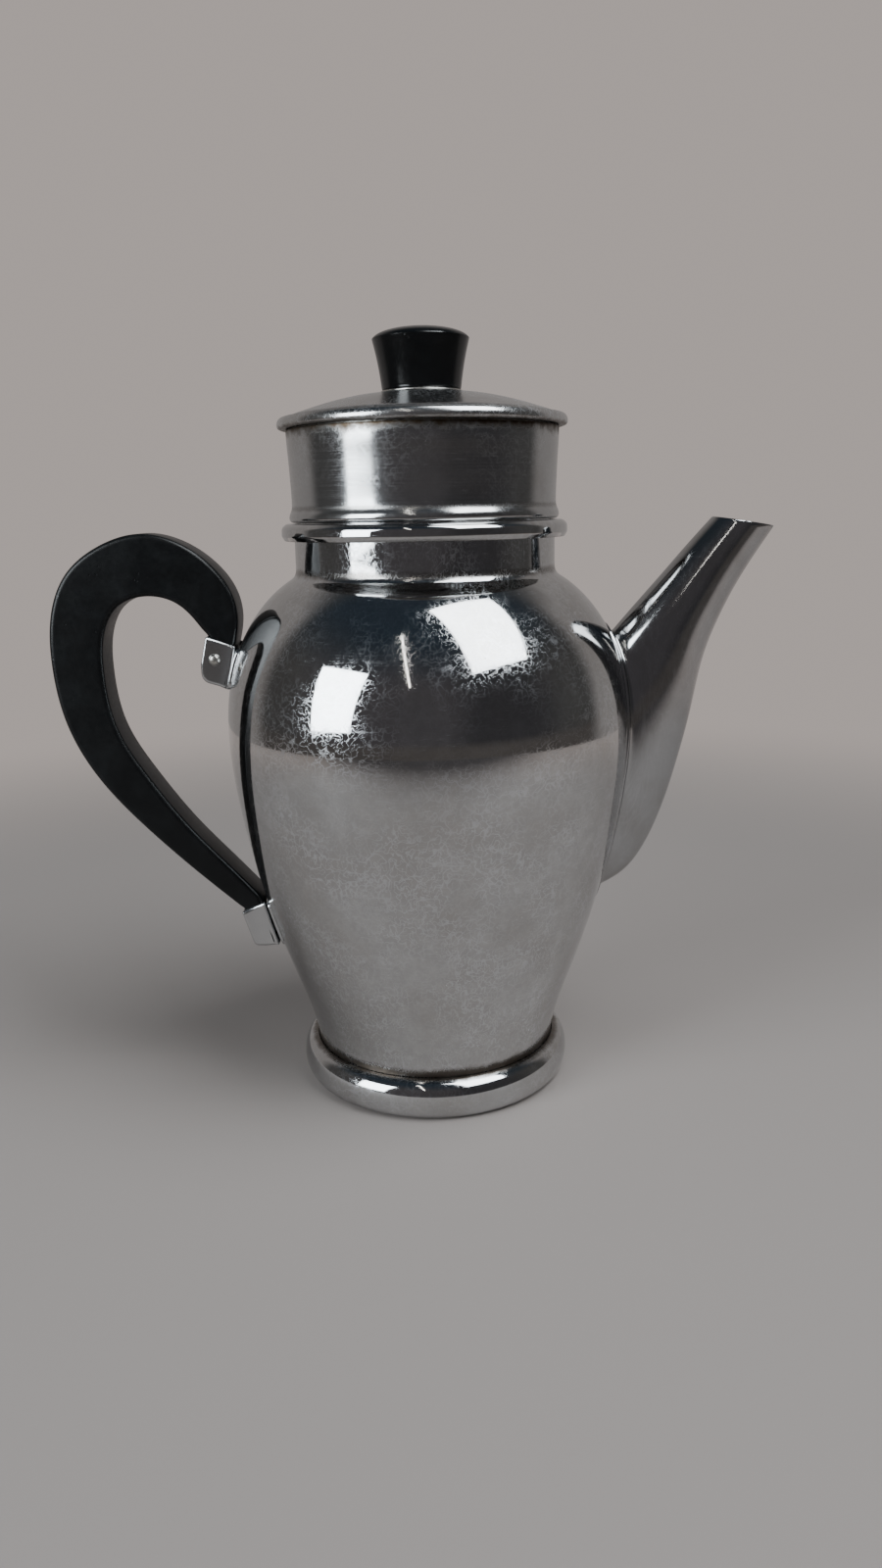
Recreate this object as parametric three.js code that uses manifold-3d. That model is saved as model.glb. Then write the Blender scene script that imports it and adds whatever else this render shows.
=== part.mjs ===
// Drip coffee pot in chrome-plated sheet metal, with a black moulded handle and lid knob.
// The pot stands on z = 0 with its axis on z. The handle is towards -x and the spout towards +x.
// Three parts lift off the top, one after another: the lid, the water spreader and the filter.
// Units are millimetres.

import * as THREE from "three";
import { mergeVertices } from "three/addons/utils/BufferGeometryUtils.js";
import Module from "manifold-3d";

const wasm = await Module();
wasm.setup();

// ---- Driving dimensions ----

const ROUND_SIDES = 36; // facets round the large turned parts
const SMALL_SIDES = 16; // facets round rods, heads and the knob
const GAP = 0.3; // room left between parts that touch
const OVERRUN = 1; // how far a cutting tool passes each face it cuts
const HOLE_SIDES = 6;

const BODY_WALL = 1.0;
const BODY_FOOT_RADIUS = 40.3; // straight stretch inside the foot ring
const BODY_FOOT_TOP = 14;
const BODY_RADIUS = 64.8; // widest, high on the shoulder
const NECK_RADIUS = 40.9;
const NECK_BOTTOM = 168.4;
const NECK_TOP = 184.1;

// Places that the outside of the belly passes through, upwards, as (radius, height).
const BELLY_PLACES = [
  [41.4, 21],
  [44.5, 30.2],
  [50.1, 46],
  [56.4, 66],
  [61.5, 90],
  [64.4, 111],
  [BODY_RADIUS, 125],
  [62.6, 138.2],
  [57.9, 150.5],
  [50.4, 160.2],
];
const BELLY_STEPS = 11;
const NECK_FILLET = 0.4;
const NECK_FILLET_HEIGHT = 1.2;

const BASE_THICKNESS = 1.2;

const FOOT_RING_INNER = BODY_FOOT_RADIUS + GAP;
const FOOT_RING_HEIGHT = 13.3;
const FOOT_RING_BULGE = 4.7; // how far the half-round band stands out
const FOOT_RING_WALL = 0.9;
const FOOT_RING_STEPS = 7;
const FOOT_RING_INNER_STEPS = 4;

const NECK_RING_BOTTOM = 179.2;
const NECK_RING_TOP = 184.4;
const NECK_RING_RADIUS = 44.8;
const NECK_RING_EDGE = { inset: 0.5, rise: 1.1 }; // bevel of the lower edge
const NECK_RING_SHOULDER = { inset: 0.7, drop: 0.7 }; // the rounded top, in two steps
const NECK_RING_CROWN = { inset: 2.2, drop: 2.3 };

const SPOUT_WALL = 0.9;
const SPOUT_SIDES = 16;
const SPOUT_RINGS = 12;
const SPOUT_FLANGE = { centre: 106.5, halfHeight: 45.5, halfWidth: 13.6, narrowing: 0.25 };
const SPOUT_FLANGE_STEPS = 28;
const CHANNEL_REACH = 0.4; // how far the channel runs on past the mouth, in steps between rings
const FLANGE_THICKNESS = 0.9;
const FLANGE_REACH = 10; // how far the tool that cuts a flange's outline passes the body

const HANDLE_WIDTH = 14; // across the flat slab
const HANDLE_BEVEL = 1.6;

const SOCKET_WIDTH = 16;
const SOCKET_CORNER = 0.7;
const SOCKET_POCKET_WIDTH = HANDLE_WIDTH + 2 * GAP;
const SOCKET_FLANGE_WIDTH = 21;
const UPPER_FLANGE = { from: 133.4, to: 146.6 };
const LOWER_FLANGE = { from: 46.8, to: 62.4 };

const PIN = { x: -67.3, z: 143, radius: 1.2, headRadius: 1.9, headHeight: 1.1 };
const PIN_CROWN = { radius: 0.6, drop: 0.2 }; // shares of the head's radius and height

const FILTER_WALL = 0.8;
const FILTER_BOTTOM = 146;
const FILTER_SKIRT_RADIUS = 39.4; // slides into the neck
const FILTER_LEDGE = NECK_RING_TOP + GAP; // where the filter rests on the neck ring
const FILTER_BEAD_RADIUS = 42.15;
const FILTER_WAIST_RADIUS = 41.2;
const FILTER_RIM_RADIUS = 42.15;
const FILTER_TOP = 212.1;
const FILTER_LIP_INNER = 36.2; // edge of the inturned lip that carries the filter plate
const FILTER_SKIRT_BEVEL = 0.5;

// Outside of the filter over the ledge, upwards, as (radius, height over the ledge).
const FILTER_SIDE = [
  [FILTER_BEAD_RADIUS - 0.6, 0],
  [FILTER_BEAD_RADIUS, 1.3],
  [FILTER_BEAD_RADIUS - 0.3, 2.7],
  [FILTER_WAIST_RADIUS, 4.6],
  [FILTER_WAIST_RADIUS + 0.25, 12],
];
const FILTER_BEAD_INSIDE = [
  [FILTER_BEAD_RADIUS - 0.3 - FILTER_WALL, 2.5],
  [FILTER_BEAD_RADIUS - FILTER_WALL, 1.3],
  [FILTER_BEAD_RADIUS - 0.2 - FILTER_WALL, FILTER_WALL],
];

const PLATE_RADIUS = 38.3;
const PLATE_THICKNESS = 0.8;
const PLATE_HOLES = { rings: 3, pitch: 10.4, holeRadius: 1.5, turn: 0, middle: true };

const SPREADER_RADIUS = 39.8;
const SPREADER_BOTTOM = FILTER_LEDGE + FILTER_WALL + GAP;
const SPREADER_THICKNESS = 0.8;
const SPREADER_RIM_HEIGHT = 3.2;
const SPREADER_EDGE = 0.6; // bevel round the bottom
// Turned so that its holes are out of line with the filter plate's.
const SPREADER_HOLES = { rings: 2, pitch: 12, holeRadius: 1.7, turn: Math.PI / 12, middle: false };

const STEM_RADIUS = 1.6;
const STEM_COLLAR_RADIUS = 3.2;
const STEM_COLLAR_HEIGHT = 1.5;
const STEM_TOP = 203;
const STEM_END = 0.8; // how far the stem passes the nut
const NUT_RADIUS = 3.4;
const NUT_HEIGHT = 2.4;
const NUT_SIDES = 6;
const STEM_BALL_RADIUS = 5;
const STEM_BALL_CENTRE = 203.4;
const STEM_BALL_RINGS = 10;

const LID_WALL = 0.8;
const LID_RIM_BOTTOM = FILTER_TOP + GAP;
const LID_RIM_RADIUS = 44.75;
const LID_HEM_INNER = 41.2;
const LID_CREASE_RADIUS = 42;
const LID_CREASE_HEIGHT = 215.6;
const LID_FLAT_RADIUS = 14;
const LID_TOP = 222.5;
// Rolled rim, upwards, as (distance in from the rim's radius, height over its lower edge).
const LID_RIM_ROLL = [
  [0.85, 0],
  [0, 0.9],
  [0.3, 2],
];
const LID_CREASE_STEP = { inset: 1.3, rise: 0.2 };
const LID_HEM_INSET = 1.1;
// Places that the dome passes through between the crease and the flat, as (radius, height).
const LID_DOME_PLACES = [
  [38.7, 217],
  [32.5, 219],
  [24.5, 221],
];
const LID_DOME_STEPS = 4;
const LID_COLLAR_RADIUS = 40.6; // fits inside the filter's mouth
const LID_COLLAR_WALL = 0.8;
const LID_COLLAR_BOTTOM = 204.5;
const LID_COLLAR_BEND = 214.3;
const LID_COLLAR_LEAN = { radius: 37.4, top: 215.7, drop: 0.5 }; // drop: how much lower the bend is inside

const SCREW_RADIUS = 1.5;
const SCREW_CLEARANCE = 1.9;
const SCREW_HEAD_RADIUS = 3.4;
const SCREW_HEAD_HEIGHT = 1.8;
const SCREW_TIP = 232;
const SCREW_CROWN = { radius: 0.7, height: 0.5 }; // shares of the head's radius and height

const WASHER_RADIUS = 12.7;
const WASHER_THICKNESS = 0.5;

const KNOB_BASE_RADIUS = 12.3;
const KNOB_TOP_RADIUS = 14.85;
const KNOB_EDGE_HEIGHT = 238.3;
const KNOB_CROWN_HEIGHT = 241.8;
const KNOB_WAIST = { radius: 13.2, height: 230.5 };
const KNOB_EDGE = { inset: 0.5, rise: 0.6 };
const KNOB_CROWN_STEPS = 4;

// ---- Materials ----

const chrome = { color: 0xd9dcde, roughness: 0.08, metalness: 1 };
const nickel = { color: 0xb9b7b0, roughness: 0.35, metalness: 1 };
const bakelite = { color: 0x121314, roughness: 0.42, metalness: 0 };
const glossyBakelite = { color: 0x0b0b0c, roughness: 0.18, metalness: 0 };

// ---- Geometry helpers ----

const at = (x, y) => new THREE.Vector2(x, y);

// A turned solid: the profile is (radius, height), on the axis at both ends or closed on itself.
function revolve(profile, sides = ROUND_SIDES) {
  return new THREE.LatheGeometry(profile, sides).rotateX(Math.PI / 2);
}

// Moves an outline that runs upwards away from the axis, or towards it if distance is negative.
function offsetOutline(outline, distance) {
  return outline.map((point, index) => {
    const before = outline[Math.max(index - 1, 0)];
    const after = outline[Math.min(index + 1, outline.length - 1)];
    const along = after.clone().sub(before).normalize();
    return at(point.x + along.y * distance, point.y - along.x * distance);
  });
}

// A sheet-metal wall: the outline outside, and the same outline moved in by the wall inside.
function shellProfile(outline, wall) {
  const inside = offsetOutline(outline, -wall).reverse();
  return [...outline, ...inside, outline[0].clone()];
}

// The whole space inside an outline.
function filledProfile(outline) {
  const first = outline[0];
  const last = outline[outline.length - 1];
  return [at(0, first.y), ...outline, at(0, last.y)];
}

// A side view drawn in x and z, given a width along y.
function slab(shape, width, bevel = 0, curveSegments = 4) {
  const depth = width - 2 * bevel;
  const options = {
    depth,
    curveSegments,
    bevelEnabled: bevel > 0,
    bevelThickness: bevel,
    bevelSize: bevel,
    bevelOffset: -bevel,
    bevelSegments: 2,
  };
  return new THREE.ExtrudeGeometry(shape, options).translate(0, 0, -depth / 2).rotateX(Math.PI / 2);
}

// A prism along x from an outline drawn in y and z.
function prismAlongX(outline, from, to) {
  const shape = new THREE.Shape(outline);
  const options = { depth: to - from, bevelEnabled: false };
  const prism = new THREE.ExtrudeGeometry(shape, options).translate(0, 0, from);
  return prism.rotateX(Math.PI / 2).rotateZ(Math.PI / 2);
}

// An upright cylinder between two heights.
function post(radius, from, to, sides = SMALL_SIDES, x = 0, y = 0) {
  const height = to - from;
  const cylinder = new THREE.CylinderGeometry(radius, radius, height, sides);
  return cylinder.rotateX(Math.PI / 2).translate(x, y, from + height / 2);
}

// Joins rings of points into a closed solid, with a fan over each end.
function loft(rings) {
  const sides = rings[0].length;
  const positions = rings.flat().flatMap((point) => point.toArray());
  const indices = [];
  for (let ring = 0; ring + 1 < rings.length; ring += 1) {
    for (let side = 0; side < sides; side += 1) {
      const next = (side + 1) % sides;
      const a = ring * sides + side;
      const b = ring * sides + next;
      indices.push(a, b, a + sides, b, b + sides, a + sides);
    }
  }
  for (const [ring, flip] of [[0, false], [rings.length - 1, true]]) {
    const first = ring * sides;
    for (let side = 1; side + 1 < sides; side += 1) {
      const fan = [first, first + side + 1, first + side];
      indices.push(...(flip ? fan.reverse() : fan));
    }
  }
  const geometry = new THREE.BufferGeometry();
  geometry.setAttribute("position", new THREE.Float32BufferAttribute(positions, 3));
  geometry.setIndex(indices);
  return geometry;
}

// ---- Solid operations ----

// Keeps only positions, welds them and drops the empty triangles at a lathe's poles.
function weld(geometry) {
  const bare = geometry.clone();
  bare.deleteAttribute("normal");
  bare.deleteAttribute("uv");
  const welded = mergeVertices(bare, 1e-4);
  const corners = welded.index.array;
  const kept = [];
  for (let i = 0; i < corners.length; i += 3) {
    const [a, b, c] = [corners[i], corners[i + 1], corners[i + 2]];
    if (a !== b && b !== c && c !== a) {
      kept.push(a, b, c);
    }
  }
  welded.setIndex(kept);
  if (signedVolume(welded) < 0) {
    welded.setIndex(kept.reverse());
  }
  return welded;
}

function signedVolume(geometry) {
  const position = geometry.attributes.position;
  const corner = (i) => new THREE.Vector3().fromBufferAttribute(position, geometry.index.getX(i));
  let volume = 0;
  for (let i = 0; i < geometry.index.count; i += 3) {
    volume += corner(i).dot(corner(i + 1).cross(corner(i + 2))) / 6;
  }
  return volume;
}

function toSolid(geometry) {
  const welded = weld(geometry);
  const vertProperties = new Float32Array(welded.attributes.position.array);
  const triVerts = new Uint32Array(welded.index.array);
  return new wasm.Manifold(new wasm.Mesh({ numProp: 3, vertProperties, triVerts }));
}

function toGeometry(solid) {
  const mesh = solid.getMesh();
  const geometry = new THREE.BufferGeometry();
  geometry.setAttribute("position", new THREE.BufferAttribute(mesh.vertProperties, 3));
  geometry.setIndex(new THREE.BufferAttribute(mesh.triVerts, 1));
  return geometry;
}

function cut(geometry, ...tools) {
  let solid = toSolid(geometry);
  for (const tool of tools) {
    solid = solid.subtract(toSolid(tool));
  }
  return toGeometry(solid);
}

function join(geometry, ...others) {
  let solid = toSolid(geometry);
  for (const other of others) {
    solid = solid.add(toSolid(other));
  }
  return toGeometry(solid);
}

function common(geometry, other) {
  return toGeometry(toSolid(geometry).intersect(toSolid(other)));
}

// ---- Pot body and what is brazed to it ----

// Outside of the pot from its lower edge to its lip.
function bodyOutline() {
  const side = new THREE.SplineCurve([
    at(BODY_FOOT_RADIUS, BODY_FOOT_TOP),
    ...BELLY_PLACES.map(([radius, height]) => at(radius, height)),
    at(NECK_RADIUS + NECK_FILLET, NECK_BOTTOM),
  ]);
  return [
    at(BODY_FOOT_RADIUS, BASE_THICKNESS + GAP),
    ...side.getPoints(BELLY_STEPS),
    at(NECK_RADIUS, NECK_BOTTOM + NECK_FILLET_HEIGHT),
    at(NECK_RADIUS, NECK_TOP),
  ];
}

// The body's outside grown by a distance, finely faceted so that fitted parts follow it.
function bodyForm(distance) {
  const outline = offsetOutline(bodyOutline(), distance);
  return revolve(filledProfile(outline), 2 * ROUND_SIDES);
}

function potBody() {
  const shell = revolve(shellProfile(bodyOutline(), BODY_WALL));
  return cut(shell, spoutChannel());
}

function basePlate() {
  return revolve(filledProfile([at(BODY_FOOT_RADIUS, 0), at(BODY_FOOT_RADIUS, BASE_THICKNESS)]));
}

// A half-round band, hollow behind, round the foot.
function footRing() {
  const halfHeight = FOOT_RING_HEIGHT / 2;
  const arc = (bulge, rise, steps) => {
    const points = [];
    for (let i = 0; i <= steps; i += 1) {
      const angle = -Math.PI / 2 + (Math.PI * i) / steps;
      const radius = FOOT_RING_INNER + bulge * Math.cos(angle);
      points.push(at(radius, halfHeight + rise * Math.sin(angle)));
    }
    return points;
  };
  const outside = arc(FOOT_RING_BULGE, halfHeight, FOOT_RING_STEPS);
  const bulge = FOOT_RING_BULGE - FOOT_RING_WALL;
  const inside = arc(bulge, halfHeight - FOOT_RING_WALL, FOOT_RING_INNER_STEPS);
  return revolve([...outside, ...inside.reverse(), outside[0].clone()]);
}

// The bead round the pot's mouth, flat below with a sharp edge, and rounded on top.
function neckRing() {
  const inner = NECK_RADIUS + GAP;
  return revolve([
    at(inner, NECK_RING_BOTTOM),
    at(NECK_RING_RADIUS - NECK_RING_EDGE.inset, NECK_RING_BOTTOM),
    at(NECK_RING_RADIUS, NECK_RING_BOTTOM + NECK_RING_EDGE.rise),
    at(NECK_RING_RADIUS, NECK_RING_TOP - NECK_RING_CROWN.drop),
    at(NECK_RING_RADIUS - NECK_RING_SHOULDER.inset, NECK_RING_TOP - NECK_RING_SHOULDER.drop),
    at(NECK_RING_RADIUS - NECK_RING_CROWN.inset, NECK_RING_TOP),
    at(inner, NECK_RING_TOP),
    at(inner, NECK_RING_BOTTOM),
  ]);
}

// Each section of the spout: its upper edge, its lower edge (both x, z) and its half width in y.
// The sections turn from the level mouth to upright ones inside the body.
const SPOUT_SECTIONS = [
  { upper: at(91.0, 184.2), lower: at(110.3, 181.0), halfWidth: 8.0 },
  { upper: at(83.5, 176.0), lower: at(101.2, 167.0), halfWidth: 8.6 },
  { upper: at(76.2, 167.6), lower: at(94.4, 154.0), halfWidth: 9.4 },
  { upper: at(68.6, 159.0), lower: at(89.0, 139.5), halfWidth: 10.4 },
  { upper: at(61.6, 151.0), lower: at(85.8, 123.5), halfWidth: 11.2 },
  { upper: at(57.0, 145.5), lower: at(81.8, 106.5), halfWidth: 11.6 },
  { upper: at(53.0, 140.5), lower: at(76.0, 87.5), halfWidth: 11.6 },
  { upper: at(49.5, 136.0), lower: at(67.0, 70.5), halfWidth: 11.2 },
  { upper: at(47.0, 132.5), lower: at(55.5, 62.5), halfWidth: 10.5 },
];

function spoutRings(shrink) {
  const upper = new THREE.SplineCurve(SPOUT_SECTIONS.map((section) => section.upper));
  const lower = new THREE.SplineCurve(SPOUT_SECTIONS.map((section) => section.lower));
  const width = new THREE.SplineCurve(SPOUT_SECTIONS.map((section) => at(section.halfWidth, 0)));
  const rings = [];
  for (let i = 0; i <= SPOUT_RINGS; i += 1) {
    const t = i / SPOUT_RINGS;
    const top = upper.getPoint(t);
    const middle = top.clone().add(lower.getPoint(t)).multiplyScalar(0.5);
    const reach = top.sub(middle);
    reach.setLength(reach.length() - shrink);
    const halfWidth = width.getPoint(t).x - shrink;
    rings.push(ellipseRing(middle, reach, halfWidth));
  }
  return rings;
}

function ellipseRing(middle, reach, halfWidth) {
  const ring = [];
  for (let side = 0; side < SPOUT_SIDES; side += 1) {
    const angle = (2 * Math.PI * side) / SPOUT_SIDES;
    const across = halfWidth * Math.sin(angle);
    const along = Math.cos(angle);
    ring.push(new THREE.Vector3(middle.x + reach.x * along, across, middle.y + reach.y * along));
  }
  return ring;
}

// The space that coffee runs through, carried on past the mouth.
function spoutChannel() {
  const rings = spoutRings(SPOUT_WALL);
  const pastMouth = rings[0].map((point, side) => {
    const step = point.clone().sub(rings[1][side]).multiplyScalar(CHANNEL_REACH);
    return point.clone().add(step);
  });
  return loft([pastMouth, ...rings]);
}

// A thin plate that lies on the body inside an outline given in y and z.
function bodySaddle(outline, from, to) {
  const layer = cut(bodyForm(GAP + FLANGE_THICKNESS), bodyForm(GAP));
  return common(layer, prismAlongX(outline, from, to));
}

function spoutFlangeOutline() {
  const { centre, halfHeight, halfWidth, narrowing } = SPOUT_FLANGE;
  const outline = [];
  for (let i = 0; i < SPOUT_FLANGE_STEPS; i += 1) {
    const angle = (2 * Math.PI * i) / SPOUT_FLANGE_STEPS;
    const rise = Math.cos(angle);
    outline.push(at(halfWidth * Math.sin(angle) * (1 - narrowing * rise), centre + halfHeight * rise));
  }
  return outline;
}

function spout() {
  const flange = bodySaddle(spoutFlangeOutline(), BODY_FOOT_RADIUS, BODY_RADIUS + FLANGE_REACH);
  const tube = loft(spoutRings(0));
  return cut(join(tube, flange), spoutChannel(), bodyForm(GAP));
}

// ---- Handle and its sockets ----

// Side view of the handle in x and z: a flat scroll with a hooked upper end.
function handleShape() {
  const shape = new THREE.Shape();
  shape.moveTo(-64.3, 137.2);
  shape.lineTo(-62.3, 144);
  shape.splineThru([at(-60.7, 148.8), at(-59.4, 154.5), at(-61, 163.6), at(-66.8, 172.2), at(-75.6, 178.8)]);
  shape.splineThru([at(-87.5, 182.3), at(-101.5, 178.9), at(-113, 170), at(-118.8, 156), at(-119.7, 141)]);
  shape.splineThru([at(-116.6, 122.8), at(-108, 105), at(-93.2, 87.2), at(-78, 72.2), at(-64, 59.5)]);
  shape.lineTo(-62.9, 59.2);
  shape.lineTo(-60.1, 50.4);
  shape.quadraticCurveTo(-59.2, 47.9, -56.8, 47.8);
  shape.lineTo(-52.3, 48.6);
  shape.lineTo(-54.2, 55);
  shape.lineTo(-57, 63.2);
  shape.splineThru([at(-65.2, 72.2), at(-79, 87.6), at(-91.8, 105.4), at(-100.3, 121.2), at(-103.1, 139)]);
  shape.splineThru([at(-102.9, 149), at(-98.9, 158.3), at(-88.5, 163.2), at(-77.6, 160.4), at(-71, 152.4)]);
  shape.lineTo(-69.7, 150.9);
  shape.lineTo(-68.9, 150.5);
  shape.lineTo(-70.6, 142);
  shape.quadraticCurveTo(-71.2, 137.8, -67.4, 136.8);
  shape.closePath();
  return shape;
}

function handle() {
  return cut(slab(handleShape(), HANDLE_WIDTH, HANDLE_BEVEL, 2), pinHole());
}

// A sheet-metal cup that holds an end of the handle, with flanges that lie on the body.
function socket(side, pocket, flangeOutline) {
  const block = slab(side, SOCKET_WIDTH, SOCKET_CORNER, 4);
  const flange = bodySaddle(flangeOutline, -BODY_RADIUS - FLANGE_REACH, -BODY_FOOT_RADIUS);
  return cut(join(block, flange), slab(pocket, SOCKET_POCKET_WIDTH), bodyForm(GAP));
}

function flangeRectangle({ from, to }) {
  const half = SOCKET_FLANGE_WIDTH / 2;
  return [at(-half, from), at(half, from), at(half, to), at(-half, to)];
}

function upperSocket() {
  const side = new THREE.Shape();
  side.moveTo(-55, 133);
  side.lineTo(-55, 144.6);
  side.lineTo(-69.9, 150.4);
  side.lineTo(-71.8, 141.6);
  side.quadraticCurveTo(-72.4, 136.2, -67, 134.6);
  side.closePath();
  const pocket = new THREE.Shape();
  pocket.moveTo(-50, 135.8);
  pocket.lineTo(-50, 158);
  pocket.lineTo(-67.6, 158);
  pocket.lineTo(-71, 142);
  pocket.quadraticCurveTo(-71.6, 137.2, -67.4, 136.2);
  pocket.closePath();
  const flange = flangeRectangle(UPPER_FLANGE);
  return cut(socket(side, pocket, flange), pinHole());
}

function lowerSocket() {
  const side = new THREE.Shape();
  side.moveTo(-45, 47);
  side.lineTo(-45, 66.8);
  side.lineTo(-63.8, 58.3);
  side.lineTo(-60.9, 49.4);
  side.quadraticCurveTo(-59.8, 46.3, -56.5, 46.2);
  side.closePath();
  const pocket = new THREE.Shape();
  pocket.moveTo(-40, 47.6);
  pocket.lineTo(-40, 72);
  pocket.lineTo(-67.4, 72);
  pocket.lineTo(-60.4, 50.2);
  pocket.quadraticCurveTo(-59.4, 47.4, -56.6, 47.2);
  pocket.closePath();
  return socket(side, pocket, flangeRectangle(LOWER_FLANGE));
}

function alongY(geometry) {
  return geometry.rotateX(Math.PI / 2).translate(PIN.x, 0, PIN.z);
}

function pinHole() {
  return alongY(post(PIN.radius + GAP, -SOCKET_WIDTH, SOCKET_WIDTH));
}

// A rivet through socket and handle, with a domed head at each end.
function handlePin() {
  const seat = SOCKET_WIDTH / 2 + GAP;
  const crown = seat + PIN.headHeight;
  const profile = [
    at(0, -crown),
    at(PIN.headRadius * PIN_CROWN.radius, PIN.headHeight * PIN_CROWN.drop - crown),
    at(PIN.headRadius, -seat),
    at(PIN.radius, -seat),
    at(PIN.radius, seat),
    at(PIN.headRadius, seat),
    at(PIN.headRadius * PIN_CROWN.radius, crown - PIN.headHeight * PIN_CROWN.drop),
    at(0, crown),
  ];
  return alongY(revolve(profile, SMALL_SIDES));
}

// ---- Filter ----

function filterShell() {
  const skirtInner = FILTER_SKIRT_RADIUS - FILTER_WALL;
  const overLedge = ([radius, height]) => at(radius, FILTER_LEDGE + height);
  const waistAndUp = FILTER_SIDE.slice(-2).reverse();
  return revolve([
    at(FILTER_LIP_INNER, FILTER_BOTTOM),
    at(FILTER_SKIRT_RADIUS - FILTER_SKIRT_BEVEL, FILTER_BOTTOM),
    at(FILTER_SKIRT_RADIUS, FILTER_BOTTOM + FILTER_SKIRT_BEVEL),
    at(FILTER_SKIRT_RADIUS, FILTER_LEDGE),
    ...FILTER_SIDE.map(overLedge),
    at(FILTER_RIM_RADIUS, FILTER_TOP),
    at(FILTER_RIM_RADIUS - FILTER_WALL, FILTER_TOP),
    ...waistAndUp.map(([radius, height]) => overLedge([radius - FILTER_WALL, height])),
    ...FILTER_BEAD_INSIDE.map(overLedge),
    at(skirtInner, FILTER_LEDGE + FILTER_WALL),
    at(skirtInner, FILTER_BOTTOM + FILTER_WALL),
    at(FILTER_LIP_INNER, FILTER_BOTTOM + FILTER_WALL),
    at(FILTER_LIP_INNER, FILTER_BOTTOM),
  ]);
}

// One hole in the middle and rings of 6, 12, 18 ... holes round it.
function holePattern({ rings, pitch, holeRadius, turn, middle }, bottom, top) {
  const from = bottom - OVERRUN;
  const to = top + OVERRUN;
  const holes = middle ? [post(holeRadius, from, to, HOLE_SIDES)] : [];
  for (let ring = 1; ring <= rings; ring += 1) {
    const count = 6 * ring;
    for (let i = 0; i < count; i += 1) {
      const angle = turn + (2 * Math.PI * i) / count;
      const x = ring * pitch * Math.cos(angle);
      const y = ring * pitch * Math.sin(angle);
      holes.push(post(holeRadius, from, to, HOLE_SIDES, x, y));
    }
  }
  return holes;
}

function filterPlate() {
  const bottom = FILTER_BOTTOM + FILTER_WALL + GAP;
  const top = bottom + PLATE_THICKNESS;
  const disc = revolve(filledProfile([at(PLATE_RADIUS, bottom), at(PLATE_RADIUS, top)]));
  return cut(disc, ...holePattern(PLATE_HOLES, bottom, top));
}

// ---- Water spreader ----

function spreaderDisc() {
  const bottom = SPREADER_BOTTOM;
  const floor = bottom + SPREADER_THICKNESS;
  const rim = bottom + SPREADER_RIM_HEIGHT;
  const dish = revolve([
    at(0, bottom),
    at(SPREADER_RADIUS - SPREADER_EDGE, bottom),
    at(SPREADER_RADIUS, bottom + SPREADER_EDGE),
    at(SPREADER_RADIUS, rim),
    at(SPREADER_RADIUS - SPREADER_THICKNESS, rim),
    at(SPREADER_RADIUS - SPREADER_THICKNESS, floor),
    at(0, floor),
  ]);
  const stemHole = post(STEM_RADIUS + GAP, bottom - OVERRUN, floor + OVERRUN);
  return cut(dish, ...holePattern(SPREADER_HOLES, bottom, floor), stemHole);
}

function spreaderStem() {
  const collarBottom = SPREADER_BOTTOM + SPREADER_THICKNESS + GAP;
  const collarTop = collarBottom + STEM_COLLAR_HEIGHT;
  const end = SPREADER_BOTTOM - GAP - NUT_HEIGHT - STEM_END;
  const profile = [
    at(0, end),
    at(STEM_RADIUS, end),
    at(STEM_RADIUS, collarBottom),
    at(STEM_COLLAR_RADIUS, collarBottom),
    at(STEM_COLLAR_RADIUS, collarTop),
    at(STEM_RADIUS, collarTop),
    at(STEM_RADIUS, STEM_TOP),
    at(0, STEM_TOP),
  ];
  return revolve(profile, SMALL_SIDES);
}

function spreaderNut() {
  const top = SPREADER_BOTTOM - GAP;
  const bottom = top - NUT_HEIGHT;
  const bore = post(STEM_RADIUS + GAP, bottom - OVERRUN, top + OVERRUN);
  return cut(post(NUT_RADIUS, bottom, top, NUT_SIDES), bore);
}

function spreaderKnob() {
  const ball = new THREE.SphereGeometry(STEM_BALL_RADIUS, SMALL_SIDES, STEM_BALL_RINGS);
  ball.rotateX(Math.PI / 2).translate(0, 0, STEM_BALL_CENTRE);
  const boreBottom = STEM_BALL_CENTRE - STEM_BALL_RADIUS - OVERRUN;
  return cut(ball, post(STEM_RADIUS + GAP, boreBottom, STEM_TOP + GAP));
}

// ---- Lid ----

// Top of the lid from the rim's lower edge, over the rolled rim and up the dome to the flat.
function lidOutline() {
  const dome = new THREE.SplineCurve([
    at(LID_CREASE_RADIUS, LID_CREASE_HEIGHT),
    ...LID_DOME_PLACES.map(([radius, height]) => at(radius, height)),
    at(LID_FLAT_RADIUS, LID_TOP),
  ]);
  return [
    ...LID_RIM_ROLL.map(([inset, rise]) => at(LID_RIM_RADIUS - inset, LID_RIM_BOTTOM + rise)),
    at(LID_RIM_RADIUS - LID_CREASE_STEP.inset, LID_CREASE_HEIGHT + LID_CREASE_STEP.rise),
    ...dome.getPoints(LID_DOME_STEPS),
  ];
}

// The lid's sheet ends in a hem turned in under the rim.
function lidShell() {
  const outline = lidOutline();
  const inside = offsetOutline(outline, -LID_WALL).slice(2).reverse();
  const hemTop = LID_RIM_BOTTOM + LID_WALL;
  return revolve([
    ...outline,
    at(SCREW_CLEARANCE, LID_TOP),
    at(SCREW_CLEARANCE, LID_TOP - LID_WALL),
    ...inside,
    at(LID_RIM_RADIUS - LID_HEM_INSET, hemTop),
    at(LID_HEM_INNER, hemTop),
    at(LID_HEM_INNER, LID_RIM_BOTTOM),
    outline[0].clone(),
  ]);
}

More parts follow.
